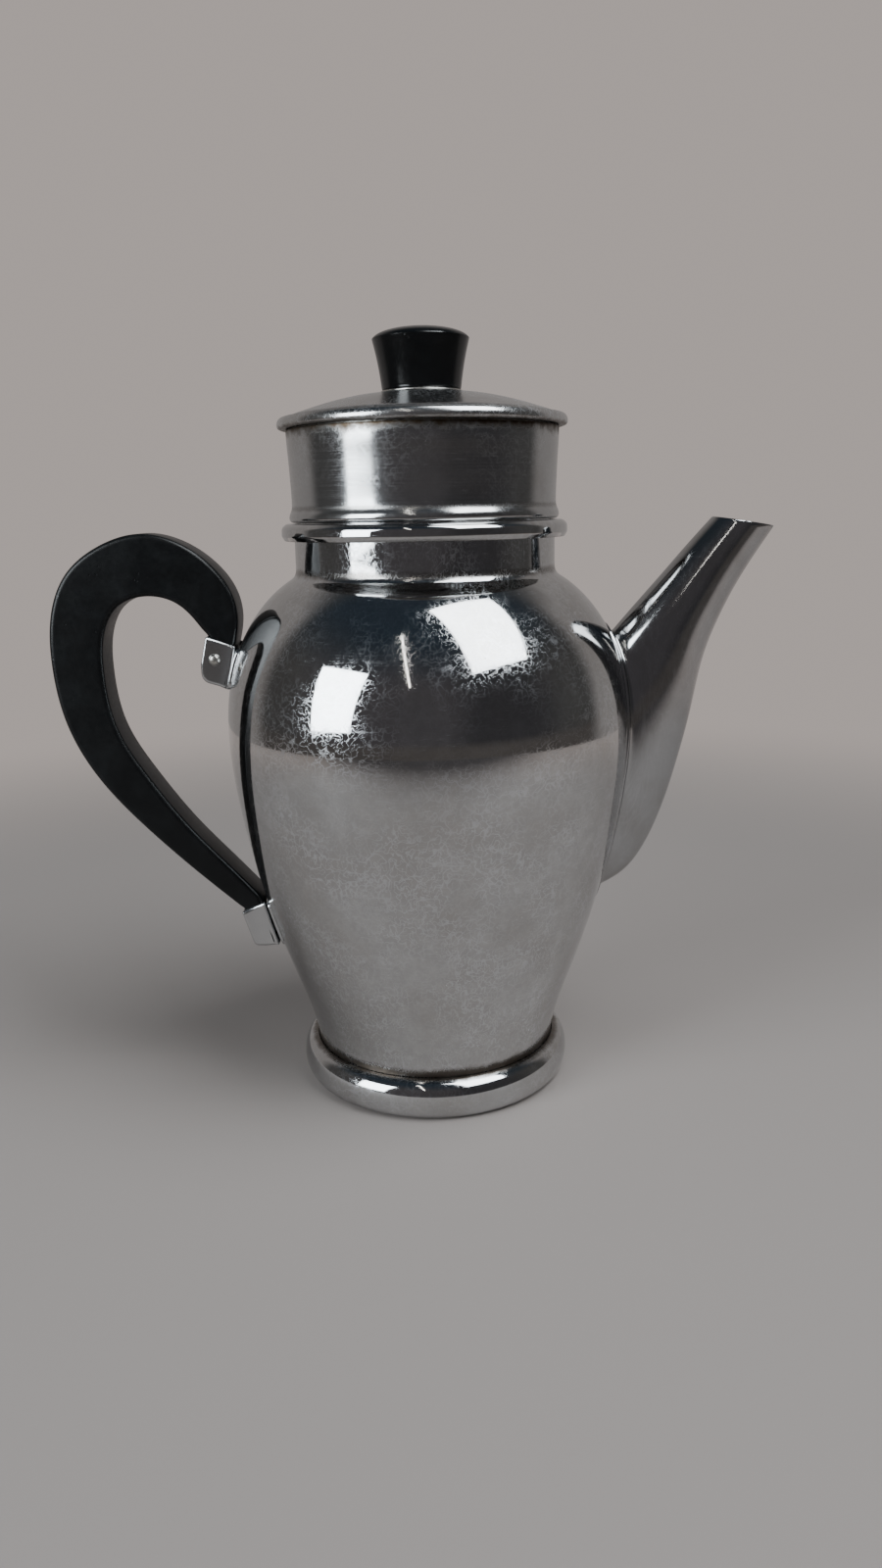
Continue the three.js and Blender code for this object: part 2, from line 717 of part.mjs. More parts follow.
// A ring under the lid that centres it in the filter's mouth. Its top edge leans in under the dome.
function lidCollar() {
  const inner = LID_COLLAR_RADIUS - LID_COLLAR_WALL;
  return revolve([
    at(inner, LID_COLLAR_BOTTOM),
    at(LID_COLLAR_RADIUS, LID_COLLAR_BOTTOM),
    at(LID_COLLAR_RADIUS, LID_COLLAR_BEND),
    at(LID_COLLAR_LEAN.radius, LID_COLLAR_LEAN.top),
    at(LID_COLLAR_LEAN.radius, LID_COLLAR_LEAN.top - LID_COLLAR_WALL),
    at(inner, LID_COLLAR_BEND - LID_COLLAR_LEAN.drop),
    at(inner, LID_COLLAR_BOTTOM),
  ]);
}

function knobWasher() {
  const bottom = LID_TOP + GAP;
  const top = bottom + WASHER_THICKNESS;
  return revolve([
    at(SCREW_CLEARANCE, bottom),
    at(WASHER_RADIUS, bottom),
    at(WASHER_RADIUS, top),
    at(SCREW_CLEARANCE, top),
    at(SCREW_CLEARANCE, bottom),
  ], 2 * SMALL_SIDES);
}

function lidKnob() {
  const bottom = LID_TOP + WASHER_THICKNESS + 2 * GAP;
  const crown = new THREE.QuadraticBezierCurve(
    at(KNOB_TOP_RADIUS - KNOB_EDGE.inset, KNOB_EDGE_HEIGHT + KNOB_EDGE.rise),
    at(KNOB_TOP_RADIUS / 2, KNOB_CROWN_HEIGHT),
    at(0, KNOB_CROWN_HEIGHT),
  );
  const profile = [
    at(0, bottom),
    at(KNOB_BASE_RADIUS, bottom),
    at(KNOB_WAIST.radius, KNOB_WAIST.height),
    at(KNOB_TOP_RADIUS, KNOB_EDGE_HEIGHT),
    ...crown.getPoints(KNOB_CROWN_STEPS),
  ];
  const bore = post(SCREW_RADIUS + GAP, bottom - OVERRUN, SCREW_TIP + GAP);
  return cut(revolve(profile, 2 * SMALL_SIDES), bore);
}

function knobScrew() {
  const seat = LID_TOP - LID_WALL - GAP;
  const profile = [
    at(0, seat - SCREW_HEAD_HEIGHT),
    at(SCREW_HEAD_RADIUS * SCREW_CROWN.radius, seat - SCREW_HEAD_HEIGHT),
    at(SCREW_HEAD_RADIUS, seat - SCREW_HEAD_HEIGHT * SCREW_CROWN.height),
    at(SCREW_HEAD_RADIUS, seat),
    at(SCREW_RADIUS, seat),
    at(SCREW_RADIUS, SCREW_TIP),
    at(0, SCREW_TIP),
  ];
  return revolve(profile, SMALL_SIDES);
}

// ---- Assembly ----

const coffeePot = new THREE.Group();

function add(name, geometry, look) {
  const mesh = new THREE.Mesh(weld(geometry), new THREE.MeshStandardMaterial(look));
  mesh.name = name;
  coffeePot.add(mesh);
}

add("pot_body", potBody(), chrome);
add("base_plate", basePlate(), nickel);
add("foot_ring", footRing(), chrome);
add("neck_ring", neckRing(), chrome);
add("spout", spout(), chrome);
add("handle", handle(), bakelite);
add("upper_handle_socket", upperSocket(), chrome);
add("lower_handle_socket", lowerSocket(), chrome);
add("handle_pin", handlePin(), nickel);
add("filter_shell", filterShell(), chrome);
add("filter_plate", filterPlate(), nickel);
add("spreader_disc", spreaderDisc(), nickel);
add("spreader_stem", spreaderStem(), nickel);
add("spreader_nut", spreaderNut(), nickel);
add("spreader_knob", spreaderKnob(), glossyBakelite);
add("lid_shell", lidShell(), chrome);
add("lid_collar", lidCollar(), nickel);
add("knob_washer", knobWasher(), nickel);
add("lid_knob", lidKnob(), glossyBakelite);
add("knob_screw", knobScrew(), nickel);

export default coffeePot;
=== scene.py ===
import math

import bmesh
import bpy
import numpy as np
from mathutils import Matrix, Vector
from mathutils.geometry import delaunay_2d_cdt


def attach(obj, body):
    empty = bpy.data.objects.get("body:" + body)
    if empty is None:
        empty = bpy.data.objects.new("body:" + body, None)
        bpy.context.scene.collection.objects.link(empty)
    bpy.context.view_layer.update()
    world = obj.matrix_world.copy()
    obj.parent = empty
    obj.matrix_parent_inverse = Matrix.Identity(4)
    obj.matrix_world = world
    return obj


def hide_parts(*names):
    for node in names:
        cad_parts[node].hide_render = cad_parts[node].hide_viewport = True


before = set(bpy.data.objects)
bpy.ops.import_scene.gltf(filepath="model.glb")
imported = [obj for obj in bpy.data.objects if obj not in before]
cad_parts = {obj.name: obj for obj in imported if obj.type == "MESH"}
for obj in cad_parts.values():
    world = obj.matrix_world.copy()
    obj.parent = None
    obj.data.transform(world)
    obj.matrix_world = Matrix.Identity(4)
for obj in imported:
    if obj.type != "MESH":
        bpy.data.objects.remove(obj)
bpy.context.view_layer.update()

# A drip coffee pot in chrome plate, with a black moulded handle and lid knob.
# Shapes are written in millimetres, in the frame of the CAD model, and scaled to metres once.

MM = 0.001
ROUND = 192  # sides round the large turned parts
SMALL = 48  # sides round rods, screws and the ball
SHARP = 32  # edges that bend by more degrees than this stay sharp, unless a piece says otherwise


# ---- Curves ----


def travelled(points):
    """The distance along the line up to each of its points."""
    return np.concatenate([[0], np.cumsum(np.hypot(*np.diff(points, axis=0).T))])


def evenly(points, count):
    """The same line as count points evenly spaced along it."""
    length = travelled(points)
    even = np.linspace(0, length[-1], count)
    return np.column_stack([np.interp(even, length, points[:, axis]) for axis in (0, 1)])


def spline(knots, count):
    """A smooth curve through the knots, as count points evenly spaced along it."""
    knots = np.array(knots, float)
    at = travelled(knots)
    slopes = np.array([natural_slopes(at, knots[:, axis]) for axis in (0, 1)]).T
    fine = np.linspace(0, at[-1], 40 * len(knots))
    return evenly(hermite(at, knots, slopes, fine), count)


def natural_slopes(at, value):
    """Slopes at the knots of the natural cubic spline."""
    n = len(at)
    h = np.diff(at)
    a = np.zeros((n, n))
    b = np.zeros(n)
    a[0, :2] = (2, 1)
    b[0] = 3 * (value[1] - value[0]) / h[0]
    a[-1, -2:] = (1, 2)
    b[-1] = 3 * (value[-1] - value[-2]) / h[-1]
    for i in range(1, n - 1):
        a[i, i - 1] = 1 / h[i - 1]
        a[i, i] = 2 * (1 / h[i - 1] + 1 / h[i])
        a[i, i + 1] = 1 / h[i]
        b[i] = 3 * ((value[i] - value[i - 1]) / h[i - 1] ** 2 + (value[i + 1] - value[i]) / h[i] ** 2)
    return np.linalg.solve(a, b)


def hermite(at, values, slopes, where):
    """Cubic pieces through values with the given slopes, at each place in where."""
    i = np.clip(np.searchsorted(at, where) - 1, 0, len(at) - 2)
    h = (at[i + 1] - at[i])[:, None]
    u = ((where - at[i]) / (at[i + 1] - at[i]))[:, None]
    h00 = 2 * u**3 - 3 * u**2 + 1
    h10 = u**3 - 2 * u**2 + u
    h01 = -2 * u**3 + 3 * u**2
    h11 = u**3 - u**2
    return h00 * values[i] + h10 * h * slopes[i] + h01 * values[i + 1] + h11 * h * slopes[i + 1]


def fair(knots, poles, count, hold_ends=30, stiffness=0.06):
    """A smooth cubic B-spline with that many poles that passes close to the knots and holds the two ends."""
    knots = np.array(knots, float)
    at = travelled(knots)
    at /= at[-1]
    basis = b_spline_basis(poles, at)
    weight = np.ones(len(knots))
    weight[[0, -1]] = hold_ends
    bend = np.zeros((poles - 3, poles))
    for i in range(poles - 3):
        bend[i, i : i + 4] = (-1, 3, -3, 1)
    left = np.vstack([basis * weight[:, None], bend * stiffness])
    right = np.vstack([knots * weight[:, None], np.zeros((poles - 3, 2))])
    controls = np.linalg.lstsq(left, right, rcond=None)[0]
    return evenly(b_spline_basis(poles, np.linspace(0, 1, 30 * poles)) @ controls, count)


def b_spline_basis(poles, where):
    """Values of the clamped uniform cubic B-spline basis."""
    inner = np.linspace(0, 1, poles - 2)
    knots = np.concatenate([[0] * 3, inner, [1] * 3])
    where = np.clip(where, 0, 1 - 1e-9)
    table = np.zeros((len(where), len(knots) - 1))
    for i in range(len(knots) - 1):
        table[:, i] = (where >= knots[i]) & (where < knots[i + 1])
    for degree in range(1, 4):
        wider = np.zeros_like(table)
        for i in range(len(knots) - 1 - degree):
            low = knots[i + degree] - knots[i]
            high = knots[i + degree + 1] - knots[i + 1]
            if low > 0:
                wider[:, i] += (where - knots[i]) / low * table[:, i]
            if high > 0:
                wider[:, i] += (knots[i + degree + 1] - where) / high * table[:, i + 1]
        table = wider
    return table[:, :poles]


def bezier(points, count):
    """A Bezier curve of any degree, as count + 1 points."""
    points = [np.array(p, float) for p in points]
    degree = len(points) - 1
    found = []
    for u in np.linspace(0, 1, count + 1):
        weights = [math.comb(degree, i) * u**i * (1 - u) ** (degree - i) for i in range(degree + 1)]
        found.append(sum(w * p for w, p in zip(weights, points)))
    return found


MOST_OF_EDGE = 0.48  # how much of an edge the arc at one of its ends may take


def rounded(corners, steps=5, closed=True):
    """An outline whose corners (a, b, radius) are arcs. A corner of (a, b) stays sharp."""
    out = []
    n = len(corners)
    for i, corner in enumerate(corners):
        p = np.array(corner[:2], float)
        radius = corner[2] if len(corner) > 2 else 0
        if radius <= 0 or (not closed and i in (0, n - 1)):
            out.append(p)
            continue
        before = np.array(corners[i - 1][:2], float) - p
        after = np.array(corners[(i + 1) % n][:2], float) - p
        d1 = before / np.linalg.norm(before)
        d2 = after / np.linalg.norm(after)
        half = math.acos(np.clip(d1 @ d2, -1, 1)) / 2
        if half > math.pi / 2 - 0.01:
            out.append(p)
            continue
        room = MOST_OF_EDGE * min(np.linalg.norm(before), np.linalg.norm(after))
        reach = min(radius / math.tan(half), room)
        r = reach * math.tan(half)
        middle = (d1 + d2) / np.linalg.norm(d1 + d2)
        centre = p + middle * (r / math.sin(half))
        start = p + d1 * reach - centre
        end = p + d2 * reach - centre
        a1 = math.atan2(start[1], start[0])
        turn = (math.atan2(end[1], end[0]) - a1 + math.pi) % (2 * math.pi) - math.pi
        for k in range(steps + 1):
            a = a1 + turn * k / steps
            out.append(centre + r * np.array([math.cos(a), math.sin(a)]))
    return out


def offset_line(points, distance):
    """The same line moved to its left by distance."""
    points = np.array(points, float)
    along = np.gradient(points, axis=0)
    along /= np.linalg.norm(along, axis=1)[:, None]
    return points + distance * np.column_stack([-along[:, 1], along[:, 0]])


# ---- Meshes ----


def add_piece(name, verts, faces, material, uvs=None, sharp=SHARP):
    """A smooth-shaded object from points in millimetres."""
    mesh = bpy.data.meshes.new(name)
    mesh.from_pydata([Vector(v) * MM for v in verts], [], faces)
    if uvs is not None:
        layer = mesh.uv_layers.new(name="UVMap")
        layer.data.foreach_set("uv", np.array(uvs, np.float32).ravel())
    mesh.validate()
    return finish_mesh(name, mesh, material, sharp)


def finish_mesh(name, mesh, material, sharp):
    """Turns the faces outwards, shades them smooth and links the object."""
    bm = bmesh.new()
    bm.from_mesh(mesh)
    bmesh.ops.recalc_face_normals(bm, faces=bm.faces)
    bm.to_mesh(mesh)
    bm.free()
    mesh.shade_smooth()
    mesh.set_sharp_from_angle(angle=math.radians(sharp))
    piece = bpy.data.objects.new(name, mesh)
    bpy.context.scene.collection.objects.link(piece)
    mesh.materials.clear()
    mesh.materials.append(material)
    return piece


def turned(name, profile, material, sides=ROUND, sharp=SHARP, axis=None):
    """A closed profile of (radius, height) turned about the axis. Points on the axis become poles."""
    profile = [np.array(p, float) for p in profile]
    n = len(profile)
    verts, index, lengths = [], [], [0.0]
    for i in range(n):
        lengths.append(lengths[-1] + float(np.linalg.norm(profile[(i + 1) % n] - profile[i])))
    widest = max(p[0] for p in profile)
    for r, z in profile:
        if r < 1e-6:
            index.append([len(verts)] * sides)
            verts.append((0, 0, z))
            continue
        index.append(list(range(len(verts), len(verts) + sides)))
        for k in range(sides):
            a = 2 * math.pi * k / sides
            verts.append((-r * math.cos(a), r * math.sin(a), z))
    faces, uvs = [], []
    for i in range(n):
        j = (i + 1) % n
        for k in range(sides):
            m = (k + 1) % sides
            corners = [(index[i][k], k, i), (index[i][m], k + 1, i),
                       (index[j][m], k + 1, j), (index[j][k], k, j)]
            kept = []
            for corner in corners:
                if corner[0] not in [c[0] for c in kept]:
                    kept.append(corner)
            if len(kept) < 3:
                continue
            faces.append([c[0] for c in kept])
            for _, around, row in kept:
                along = lengths[i + 1] if row == j else lengths[i]
                uvs.append((2 * math.pi * widest * around / sides, along))
    if axis is not None:
        verts = [axis @ Vector(v) for v in verts]
    return add_piece(name, verts, faces, material, uvs, sharp)


def tube_of(name, columns, material, sharp):
    """A closed mesh from columns of points, each column a loop, side by side round a ring."""
    columns = np.array(columns, float)
    n, m, _ = columns.shape
    verts = columns.reshape(-1, 3)
    around = np.concatenate([[0], np.cumsum(np.linalg.norm(np.diff(columns[:, m // 4], axis=0), axis=1))])
    closing = around[-1] + np.linalg.norm(columns[0, m // 4] - columns[-1, m // 4])
    around = np.append(around, closing)
    step = np.linalg.norm(np.diff(columns[0], axis=0), axis=1)
    along = np.concatenate([[0], np.cumsum(step)])
    along = np.append(along, along[-1] + np.linalg.norm(columns[0, 0] - columns[0, -1]))
    faces, uvs = [], []
    for i in range(n):
        i2 = (i + 1) % n
        for j in range(m):
            j2 = (j + 1) % m
            faces.append((i * m + j, i2 * m + j, i2 * m + j2, i * m + j2))
            uvs += [(around[i], along[j]), (around[i + 1], along[j])]
            uvs += [(around[i + 1], along[j + 1]), (around[i], along[j + 1])]
    return add_piece(name, verts, faces, material, uvs, sharp)


def inset_outline(points, distance):
    """A closed anticlockwise outline moved inwards, with mitred corners."""
    points = np.array(points, float)
    before = points - np.roll(points, 1, axis=0)
    after = np.roll(points, -1, axis=0) - points
    before /= np.linalg.norm(before, axis=1)[:, None]
    after /= np.linalg.norm(after, axis=1)[:, None]
    n1 = np.column_stack([-before[:, 1], before[:, 0]])
    n2 = np.column_stack([-after[:, 1], after[:, 0]])
    mean = n1 + n2
    mean /= np.linalg.norm(mean, axis=1)[:, None]
    grow = 1 / np.maximum((mean * n1).sum(axis=1), 0.6)
    return points + mean * (distance * grow)[:, None]


def area(points):
    """The area inside an outline, negative if it runs clockwise."""
    x, y = np.array(points, float).T
    return 0.5 * float(np.sum(x * np.roll(y, -1) - np.roll(x, -1) * y))


def ring_faces(rings, n, closed=False):
    """Quads between rings of n points, and between the last ring and the first if closed."""
    faces = []
    for r in range(rings if closed else rings - 1):
        here, there = r * n, (r + 1) % rings * n
        for k in range(n):
            m = (k + 1) % n
            faces.append((here + k, here + m, there + m, there + k))
    return faces


CAP_INSET = 0.35  # how far inside its rounded edge a slab's flat face begins


def slab(name, outline, half_width, edge, material, steps=5, sharp=40):
    """A flat slab from an outline in (x, z), from -half_width to half_width in y, its edges rounded."""
    outline = np.array(outline, float)
    if area(outline) < 0:
        outline = outline[::-1]
    rings = []
    for k in range(steps + 1):
        a = math.pi / 2 * (1 - k / steps)
        rings.append((edge * (1 - math.cos(a)), half_width - edge + edge * math.sin(a)))
    flat = inset_outline(outline, edge + CAP_INSET)
    loops = [[(x, y, z) for x, z in inset_outline(outline, inset)] for inset, y in rings]
    loops.insert(0, [(x, half_width, z) for x, z in flat])
    loops += [[(x, -y, z) for x, y, z in loop] for loop in reversed(loops)]
    n = len(outline)
    verts = [p for loop in loops for p in loop]
    faces = ring_faces(len(loops), n)
    cap_points, cap_faces = fill_flat(flat)
    for y, first in ((half_width, 0), (-half_width, (len(loops) - 1) * n)):
        base = len(verts)
        lookup = []
        for i, (x, z) in enumerate(cap_points):
            if i < n:
                lookup.append(first + i)
            else:
                lookup.append(base + i - n)
                verts.append((x, y, z))
        faces += [tuple(lookup[i] for i in face) for face in cap_faces]
    return add_piece(name, verts, faces, material, None, sharp)


def fill_flat(outline):
    """Points and faces that fill a closed outline. The outline's own points come first."""
    n = len(outline)
    edges = [(i, (i + 1) % n) for i in range(n)]
    found = delaunay_2d_cdt([Vector(p) for p in outline], edges, [], 1, 1e-5)
    verts, faces, origin = found[0], found[2], found[3]
    order = {}
    extra = []
    for i, source in enumerate(origin):
        if source and source[0] < n and source[0] not in order.values():
            order[i] = source[0]
        else:
            order[i] = n + len(extra)
            extra.append(tuple(verts[i]))
    return [tuple(p) for p in outline] + extra, [[order[i] for i in face] for face in faces]


def combine(piece, other, operation):
    """Cuts the other piece out of this one (DIFFERENCE) or joins it on (UNION), and removes the other."""
    modifier = piece.modifiers.new("combine", "BOOLEAN")
    modifier.operation = operation
    modifier.solver = "EXACT"
    modifier.object = other
    bpy.context.view_layer.update()
    graph = bpy.context.evaluated_depsgraph_get()
    mesh = bpy.data.meshes.new_from_object(piece.evaluated_get(graph))
    piece.modifiers.clear()
    piece.data = mesh
    mesh.shade_smooth()
    mesh.set_sharp_from_angle(angle=math.radians(SHARP))
    bpy.data.objects.remove(other)


# ---- Materials ----


class Nodes:
    """Short ways to add and join the nodes of a material or of the world."""

    def __init__(self, owner):
        owner.use_nodes = True
        self.owner = owner
        self.tree = owner.node_tree
        self.shader = self.tree.nodes.get("Principled BSDF")

    def node(self, kind, **settings):
        made = self.tree.nodes.new(kind)
        for key, value in settings.items():
            setattr(made, key, value)
        return made

    def put(self, socket, value):
        if isinstance(value, bpy.types.NodeSocket):
            self.tree.links.new(value, socket)
        else:
            socket.default_value = value

    def math(self, operation, a, b=0.0):
        made = self.node("ShaderNodeMath", operation=operation)
        self.put(made.inputs[0], a)
        self.put(made.inputs[1], b)
        return made.outputs[0]

    def ramp(self, value, low, high, to_low=0.0, to_high=1.0):
        made = self.node("ShaderNodeMapRange", interpolation_type="SMOOTHSTEP")
        for socket, v in zip(made.inputs, (value, low, high, to_low, to_high)):
            self.put(socket, v)
        return made.outputs[0]

    def uv(self):
        return self.node("ShaderNodeTexCoord").outputs["UV"]

    def place(self):
        return self.node("ShaderNodeTexCoord").outputs["Object"]

    def axes(self, vector):
        split = self.node("ShaderNodeSeparateXYZ")
        self.put(split.inputs[0], vector)
        return split.outputs

    def turned_by(self, vector, degrees, scale=(1, 1, 1), shift=(0, 0, 0)):
        made = self.node("ShaderNodeMapping")
        self.put(made.inputs["Vector"], vector)
        made.inputs["Rotation"].default_value = (0, 0, math.radians(degrees))
        made.inputs["Scale"].default_value = scale
        made.inputs["Location"].default_value = shift
        return made.outputs[0]

    def noise(self, vector, scale, detail=2.0, rough=0.5, distortion=0.0):
        made = self.node("ShaderNodeTexNoise")
        self.put(made.inputs["Vector"], vector)
        made.inputs["Scale"].default_value = scale
        made.inputs["Detail"].default_value = detail
        made.inputs["Roughness"].default_value = rough
        made.inputs["Distortion"].default_value = distortion
        return made.outputs["Fac"]

    def cells(self, vector, scale):
        made = self.node("ShaderNodeTexVoronoi", feature="F1")
        self.put(made.inputs["Vector"], vector)
        made.inputs["Scale"].default_value = scale
        return made.outputs["Distance"]

    def mix(self, factor, a, b):
        made = self.node("ShaderNodeMix", data_type="RGBA")
        self.put(made.inputs["Factor"], factor)
        for socket, value in ((made.inputs[6], a), (made.inputs[7], b)):
            self.put(socket, value if isinstance(value, bpy.types.NodeSocket) else (*value, 1))
        return made.outputs[2]

    def thin_lines(self, vector, scale, width, detail=1.0, shift=0.0):
        """1 along the thin curves where a noise passes its middle value, else 0."""
        value = self.noise(vector, scale, detail)
        away = self.math("ABSOLUTE", self.math("SUBTRACT", value, 0.5 + shift))
        return self.ramp(away, 0, width, 1, 0)

    def bump(self, height, metres, normal=None):
        made = self.node("ShaderNodeBump")
        made.inputs["Strength"].default_value = 1
        made.inputs["Distance"].default_value = metres
        self.put(made.inputs["Height"], height)
        if normal is not None:
            self.put(made.inputs["Normal"], normal)
        return made.outputs[0]

    def glow(self, colour, strength=1.0):
        made = self.node("ShaderNodeEmission")
        made.inputs["Color"].default_value = (*colour, 1)
        made.inputs["Strength"].default_value = strength
        return made.outputs[0]

    def mix_shaders(self, factor, a, b):
        made = self.node("ShaderNodeMixShader")
        for socket, value in zip(made.inputs, (factor, a, b)):
            self.put(socket, value)
        return made.outputs[0]

    def show(self, shader):
        self.put(self.tree.nodes["Material Output"].inputs["Surface"], shader)


def scratches(n, coords, scale):
    """Fine curling scratches in all directions, and a few long ones, in 0 to 1."""
    curls = n.thin_lines(coords, 0.26 * scale, 0.036, 1)
    finer = n.thin_lines(n.turned_by(coords, 40, shift=(31, 7, 0)), 0.45 * scale, 0.036, 1, 0.02)
    patches = n.ramp(n.noise(coords, 0.05 * scale, 2), 0.34, 0.62, 0.2, 1)
    found = n.math("MULTIPLY", n.math("MAXIMUM", curls, finer), patches)
    for degrees, long_scale, shift in ((17, 0.05, 0.02), (74, 0.045, -0.03), (131, 0.06, 0.04)):
        stretched = n.turned_by(coords, degrees, (1, 16, 1), (degrees, 3, 0))
        line = n.thin_lines(stretched, long_scale * scale, 0.012, 1, shift)
        broken = n.ramp(n.noise(n.turned_by(coords, degrees + 5), 0.11 * scale, 2), 0.54, 0.64)
        found = n.math("MAXIMUM", found, n.math("MULTIPLY", line, broken))
    return found


# Lighter, bluer tint for the scratch lines: a painted glint of the window light on real scratches.
PAINTED_SCRATCH_GLINT = (0.72, 0.75, 0.79)
TARNISH = (0.07, 0.05, 0.032)
PIT = (0.32, 0.3, 0.28)


def chrome(name, colour=(0.56, 0.57, 0.575), wear=1.0, brushed=0.0, tarnish=(), scale=1.0, rough=0.035,
           waves=1.0):
    """Worn mirror plate. tarnish holds bands of (height, reach, strength), the first two in metres."""
    n = Nodes(bpy.data.materials.new(name))
    coords = n.uv()
    place = n.place()
    cloud = n.noise(place, 42, 5, 0.62)
    marks = scratches(n, coords, scale)
    pits = n.ramp(n.cells(coords, 0.36 * scale), 0.03, 0.11, 1, 0)
    pits = n.math("MULTIPLY", pits, n.ramp(n.noise(coords, 0.07, 2), 0.5, 0.62))
    haze = n.ramp(cloud, 0.4, 0.7, 0, 0.028 * wear)
    spin = n.noise(n.turned_by(coords, 0, (0.010, 1.9, 1)), 1.0, 3, 0.6)
    smear = n.math("MULTIPLY", n.ramp(spin, 0.3, 0.7), 0.06 * brushed)
    roughness = n.math("ADD", n.math("ADD", rough, haze), smear)
    roughness = n.math("ADD", roughness, n.math("MULTIPLY", marks, 0.17 * wear))
    roughness = n.math("ADD", roughness, n.math("MULTIPLY", pits, 0.16))
    dull = tuple(c * d for c, d in zip(colour, (0.84, 0.82, 0.8)))
    tint = n.mix(n.ramp(cloud, 0.36, 0.7), colour, dull)
    mottle = n.ramp(n.noise(place, 230, 4, 0.68), 0.34, 0.66, 0, 0.5 * wear)
    tint = n.mix(mottle, tint, tuple(0.78 * c for c in colour))
    # Scratch lines tinted lighter and bluer as a painted glint of the window light; the scratches themselves
    # are real wear.
    tint = n.mix(n.math("MULTIPLY", marks, 0.55 * wear), tint, PAINTED_SCRATCH_GLINT)
    stain = 0.0
    z = n.axes(place)["Z"]
    for at, reach, strength in tarnish:
        away = n.math("ABSOLUTE", n.math("SUBTRACT", z, at))
        ragged = n.math("MULTIPLY", n.noise(place, 240, 3, 0.65), 1.5 * reach)
        band = n.ramp(n.math("SUBTRACT", away, ragged), -0.6 * reach, 0.5 * reach, strength, 0)
        stain = n.math("MAXIMUM", stain, band)
    if tarnish:
        tint = n.mix(stain, tint, TARNISH)
        roughness = n.math("ADD", roughness, n.math("MULTIPLY", stain, 0.3))
    tint = n.mix(n.math("MULTIPLY", pits, 0.5), tint, PIT)
    n.put(n.shader.inputs["Base Color"], tint)
    n.put(n.shader.inputs["Roughness"], n.math("MINIMUM", roughness, 0.7))
    n.shader.inputs["Metallic"].default_value = 1
    normal = n.bump(n.noise(place, 30, 1), 0.00004 * waves)
    normal = n.bump(spin, 0.0000002 + 0.0000012 * brushed, normal)
    normal = n.bump(marks, -0.0000010 * wear, normal)
    normal = n.bump(pits, -0.000005 * wear, normal)
    n.put(n.shader.inputs["Normal"], normal)
    return n.owner


NICKEL = (0.5, 0.49, 0.46)


def satin(name):
    """Satin nickel with a fine lay and darker stains."""
    n = Nodes(bpy.data.materials.new(name))
    place = n.place()
    lay = n.noise(n.turned_by(place, 0, (1, 1, 14)), 420, 2)
    cloud = n.noise(place, 60, 4, 0.6)
    tint = n.mix(n.ramp(cloud, 0.4, 0.7), NICKEL, tuple(0.72 * c for c in NICKEL))
    n.put(n.shader.inputs["Base Color"], tint)
    n.shader.inputs["Metallic"].default_value = 1
    rough = n.math("ADD", n.ramp(lay, 0.3, 0.7, 0.2, 0.34), n.ramp(cloud, 0.4, 0.8, 0, 0.12))
    n.put(n.shader.inputs["Roughness"], rough)
    n.put(n.shader.inputs["Normal"], n.bump(lay, 0.000006))
    return n.owner


def bakelite(name, rough, swirl, gloss, turned_lines=0.0):
    """Black phenolic moulding with faint swirls, rubbed patches and fine pits. turned_lines is in metres."""
    n = Nodes(bpy.data.materials.new(name))
    place = n.place()
    flow = n.noise(place, 46, 5, 0.62, 2.2)
    grain = n.noise(place, 650, 3, 0.6)
    light = tuple(c * swirl for c in (0.0075, 0.0088, 0.0098))
    n.put(n.shader.inputs["Base Color"], n.mix(n.ramp(flow, 0.42, 0.7), (0.0022, 0.0026, 0.003), light))
    rubbed = n.ramp(n.noise(place, 70, 3), 0.35, 0.7, 0.03, -0.02)
    value = n.math("ADD", n.math("ADD", rough, rubbed), n.ramp(grain, 0.3, 0.7, 0, 0.05))
    n.put(n.shader.inputs["Roughness"], value)
    n.shader.inputs["IOR"].default_value = 1.5
    n.shader.inputs["Specular IOR Level"].default_value = gloss
    pits = n.ramp(n.cells(place, 420), 0.05, 0.2, 1, 0)
    pits = n.math("MULTIPLY", pits, n.ramp(n.noise(place, 140, 2), 0.52, 0.62))
    normal = n.bump(grain, 0.000010)
    normal = n.bump(pits, -0.00004, normal)
    marks = n.thin_lines(place, 130, 0.012, 2)
    normal = n.bump(n.math("MULTIPLY", marks, n.ramp(flow, 0.45, 0.6)), -0.000006, normal)
    if turned_lines:
        lines = n.noise(n.turned_by(place, 0, (0.02, 0.02, 1)), 1200, 3, 0.7)
        normal = n.bump(lines, turned_lines, normal)
    n.put(n.shader.inputs["Normal"], normal)
    return n.owner


plate_body = chrome("chrome_body", tarnish=((0.0142, 0.0022, 0.85), (0.1696, 0.0014, 0.55)))
plate_ring = chrome("chrome_rings", wear=0.6, rough=0.03, waves=0.4, tarnish=((0.1792, 0.0003, 0.5),))
plate_foot = chrome("chrome_foot", wear=0.8, rough=0.04, waves=0.4, tarnish=((0.0135, 0.0008, 0.8),))
plate_spout = chrome("chrome_spout", (0.42, 0.43, 0.44), wear=0.22, rough=0.09, waves=0.1)
plate_filter = chrome("chrome_filter", (0.48, 0.492, 0.5), brushed=1.0, wear=0.4, rough=0.11, waves=0.4,
                      tarnish=((0.2128, 0.0034, 1.0), (0.1888, 0.0009, 0.35)))
plate_lid = chrome("chrome_lid", brushed=0.5, wear=0.7, rough=0.17, waves=0.4,
                   tarnish=((0.2122, 0.0010, 0.8), (0.2158, 0.0005, 0.45)))
plate_small = chrome("chrome_sockets", (0.46, 0.465, 0.46), wear=0.8, rough=0.09, scale=1.6, waves=0.5)
nickel = satin("satin_nickel")
black_handle = bakelite("handle_bakelite", 0.3, 0.6, 0.26)
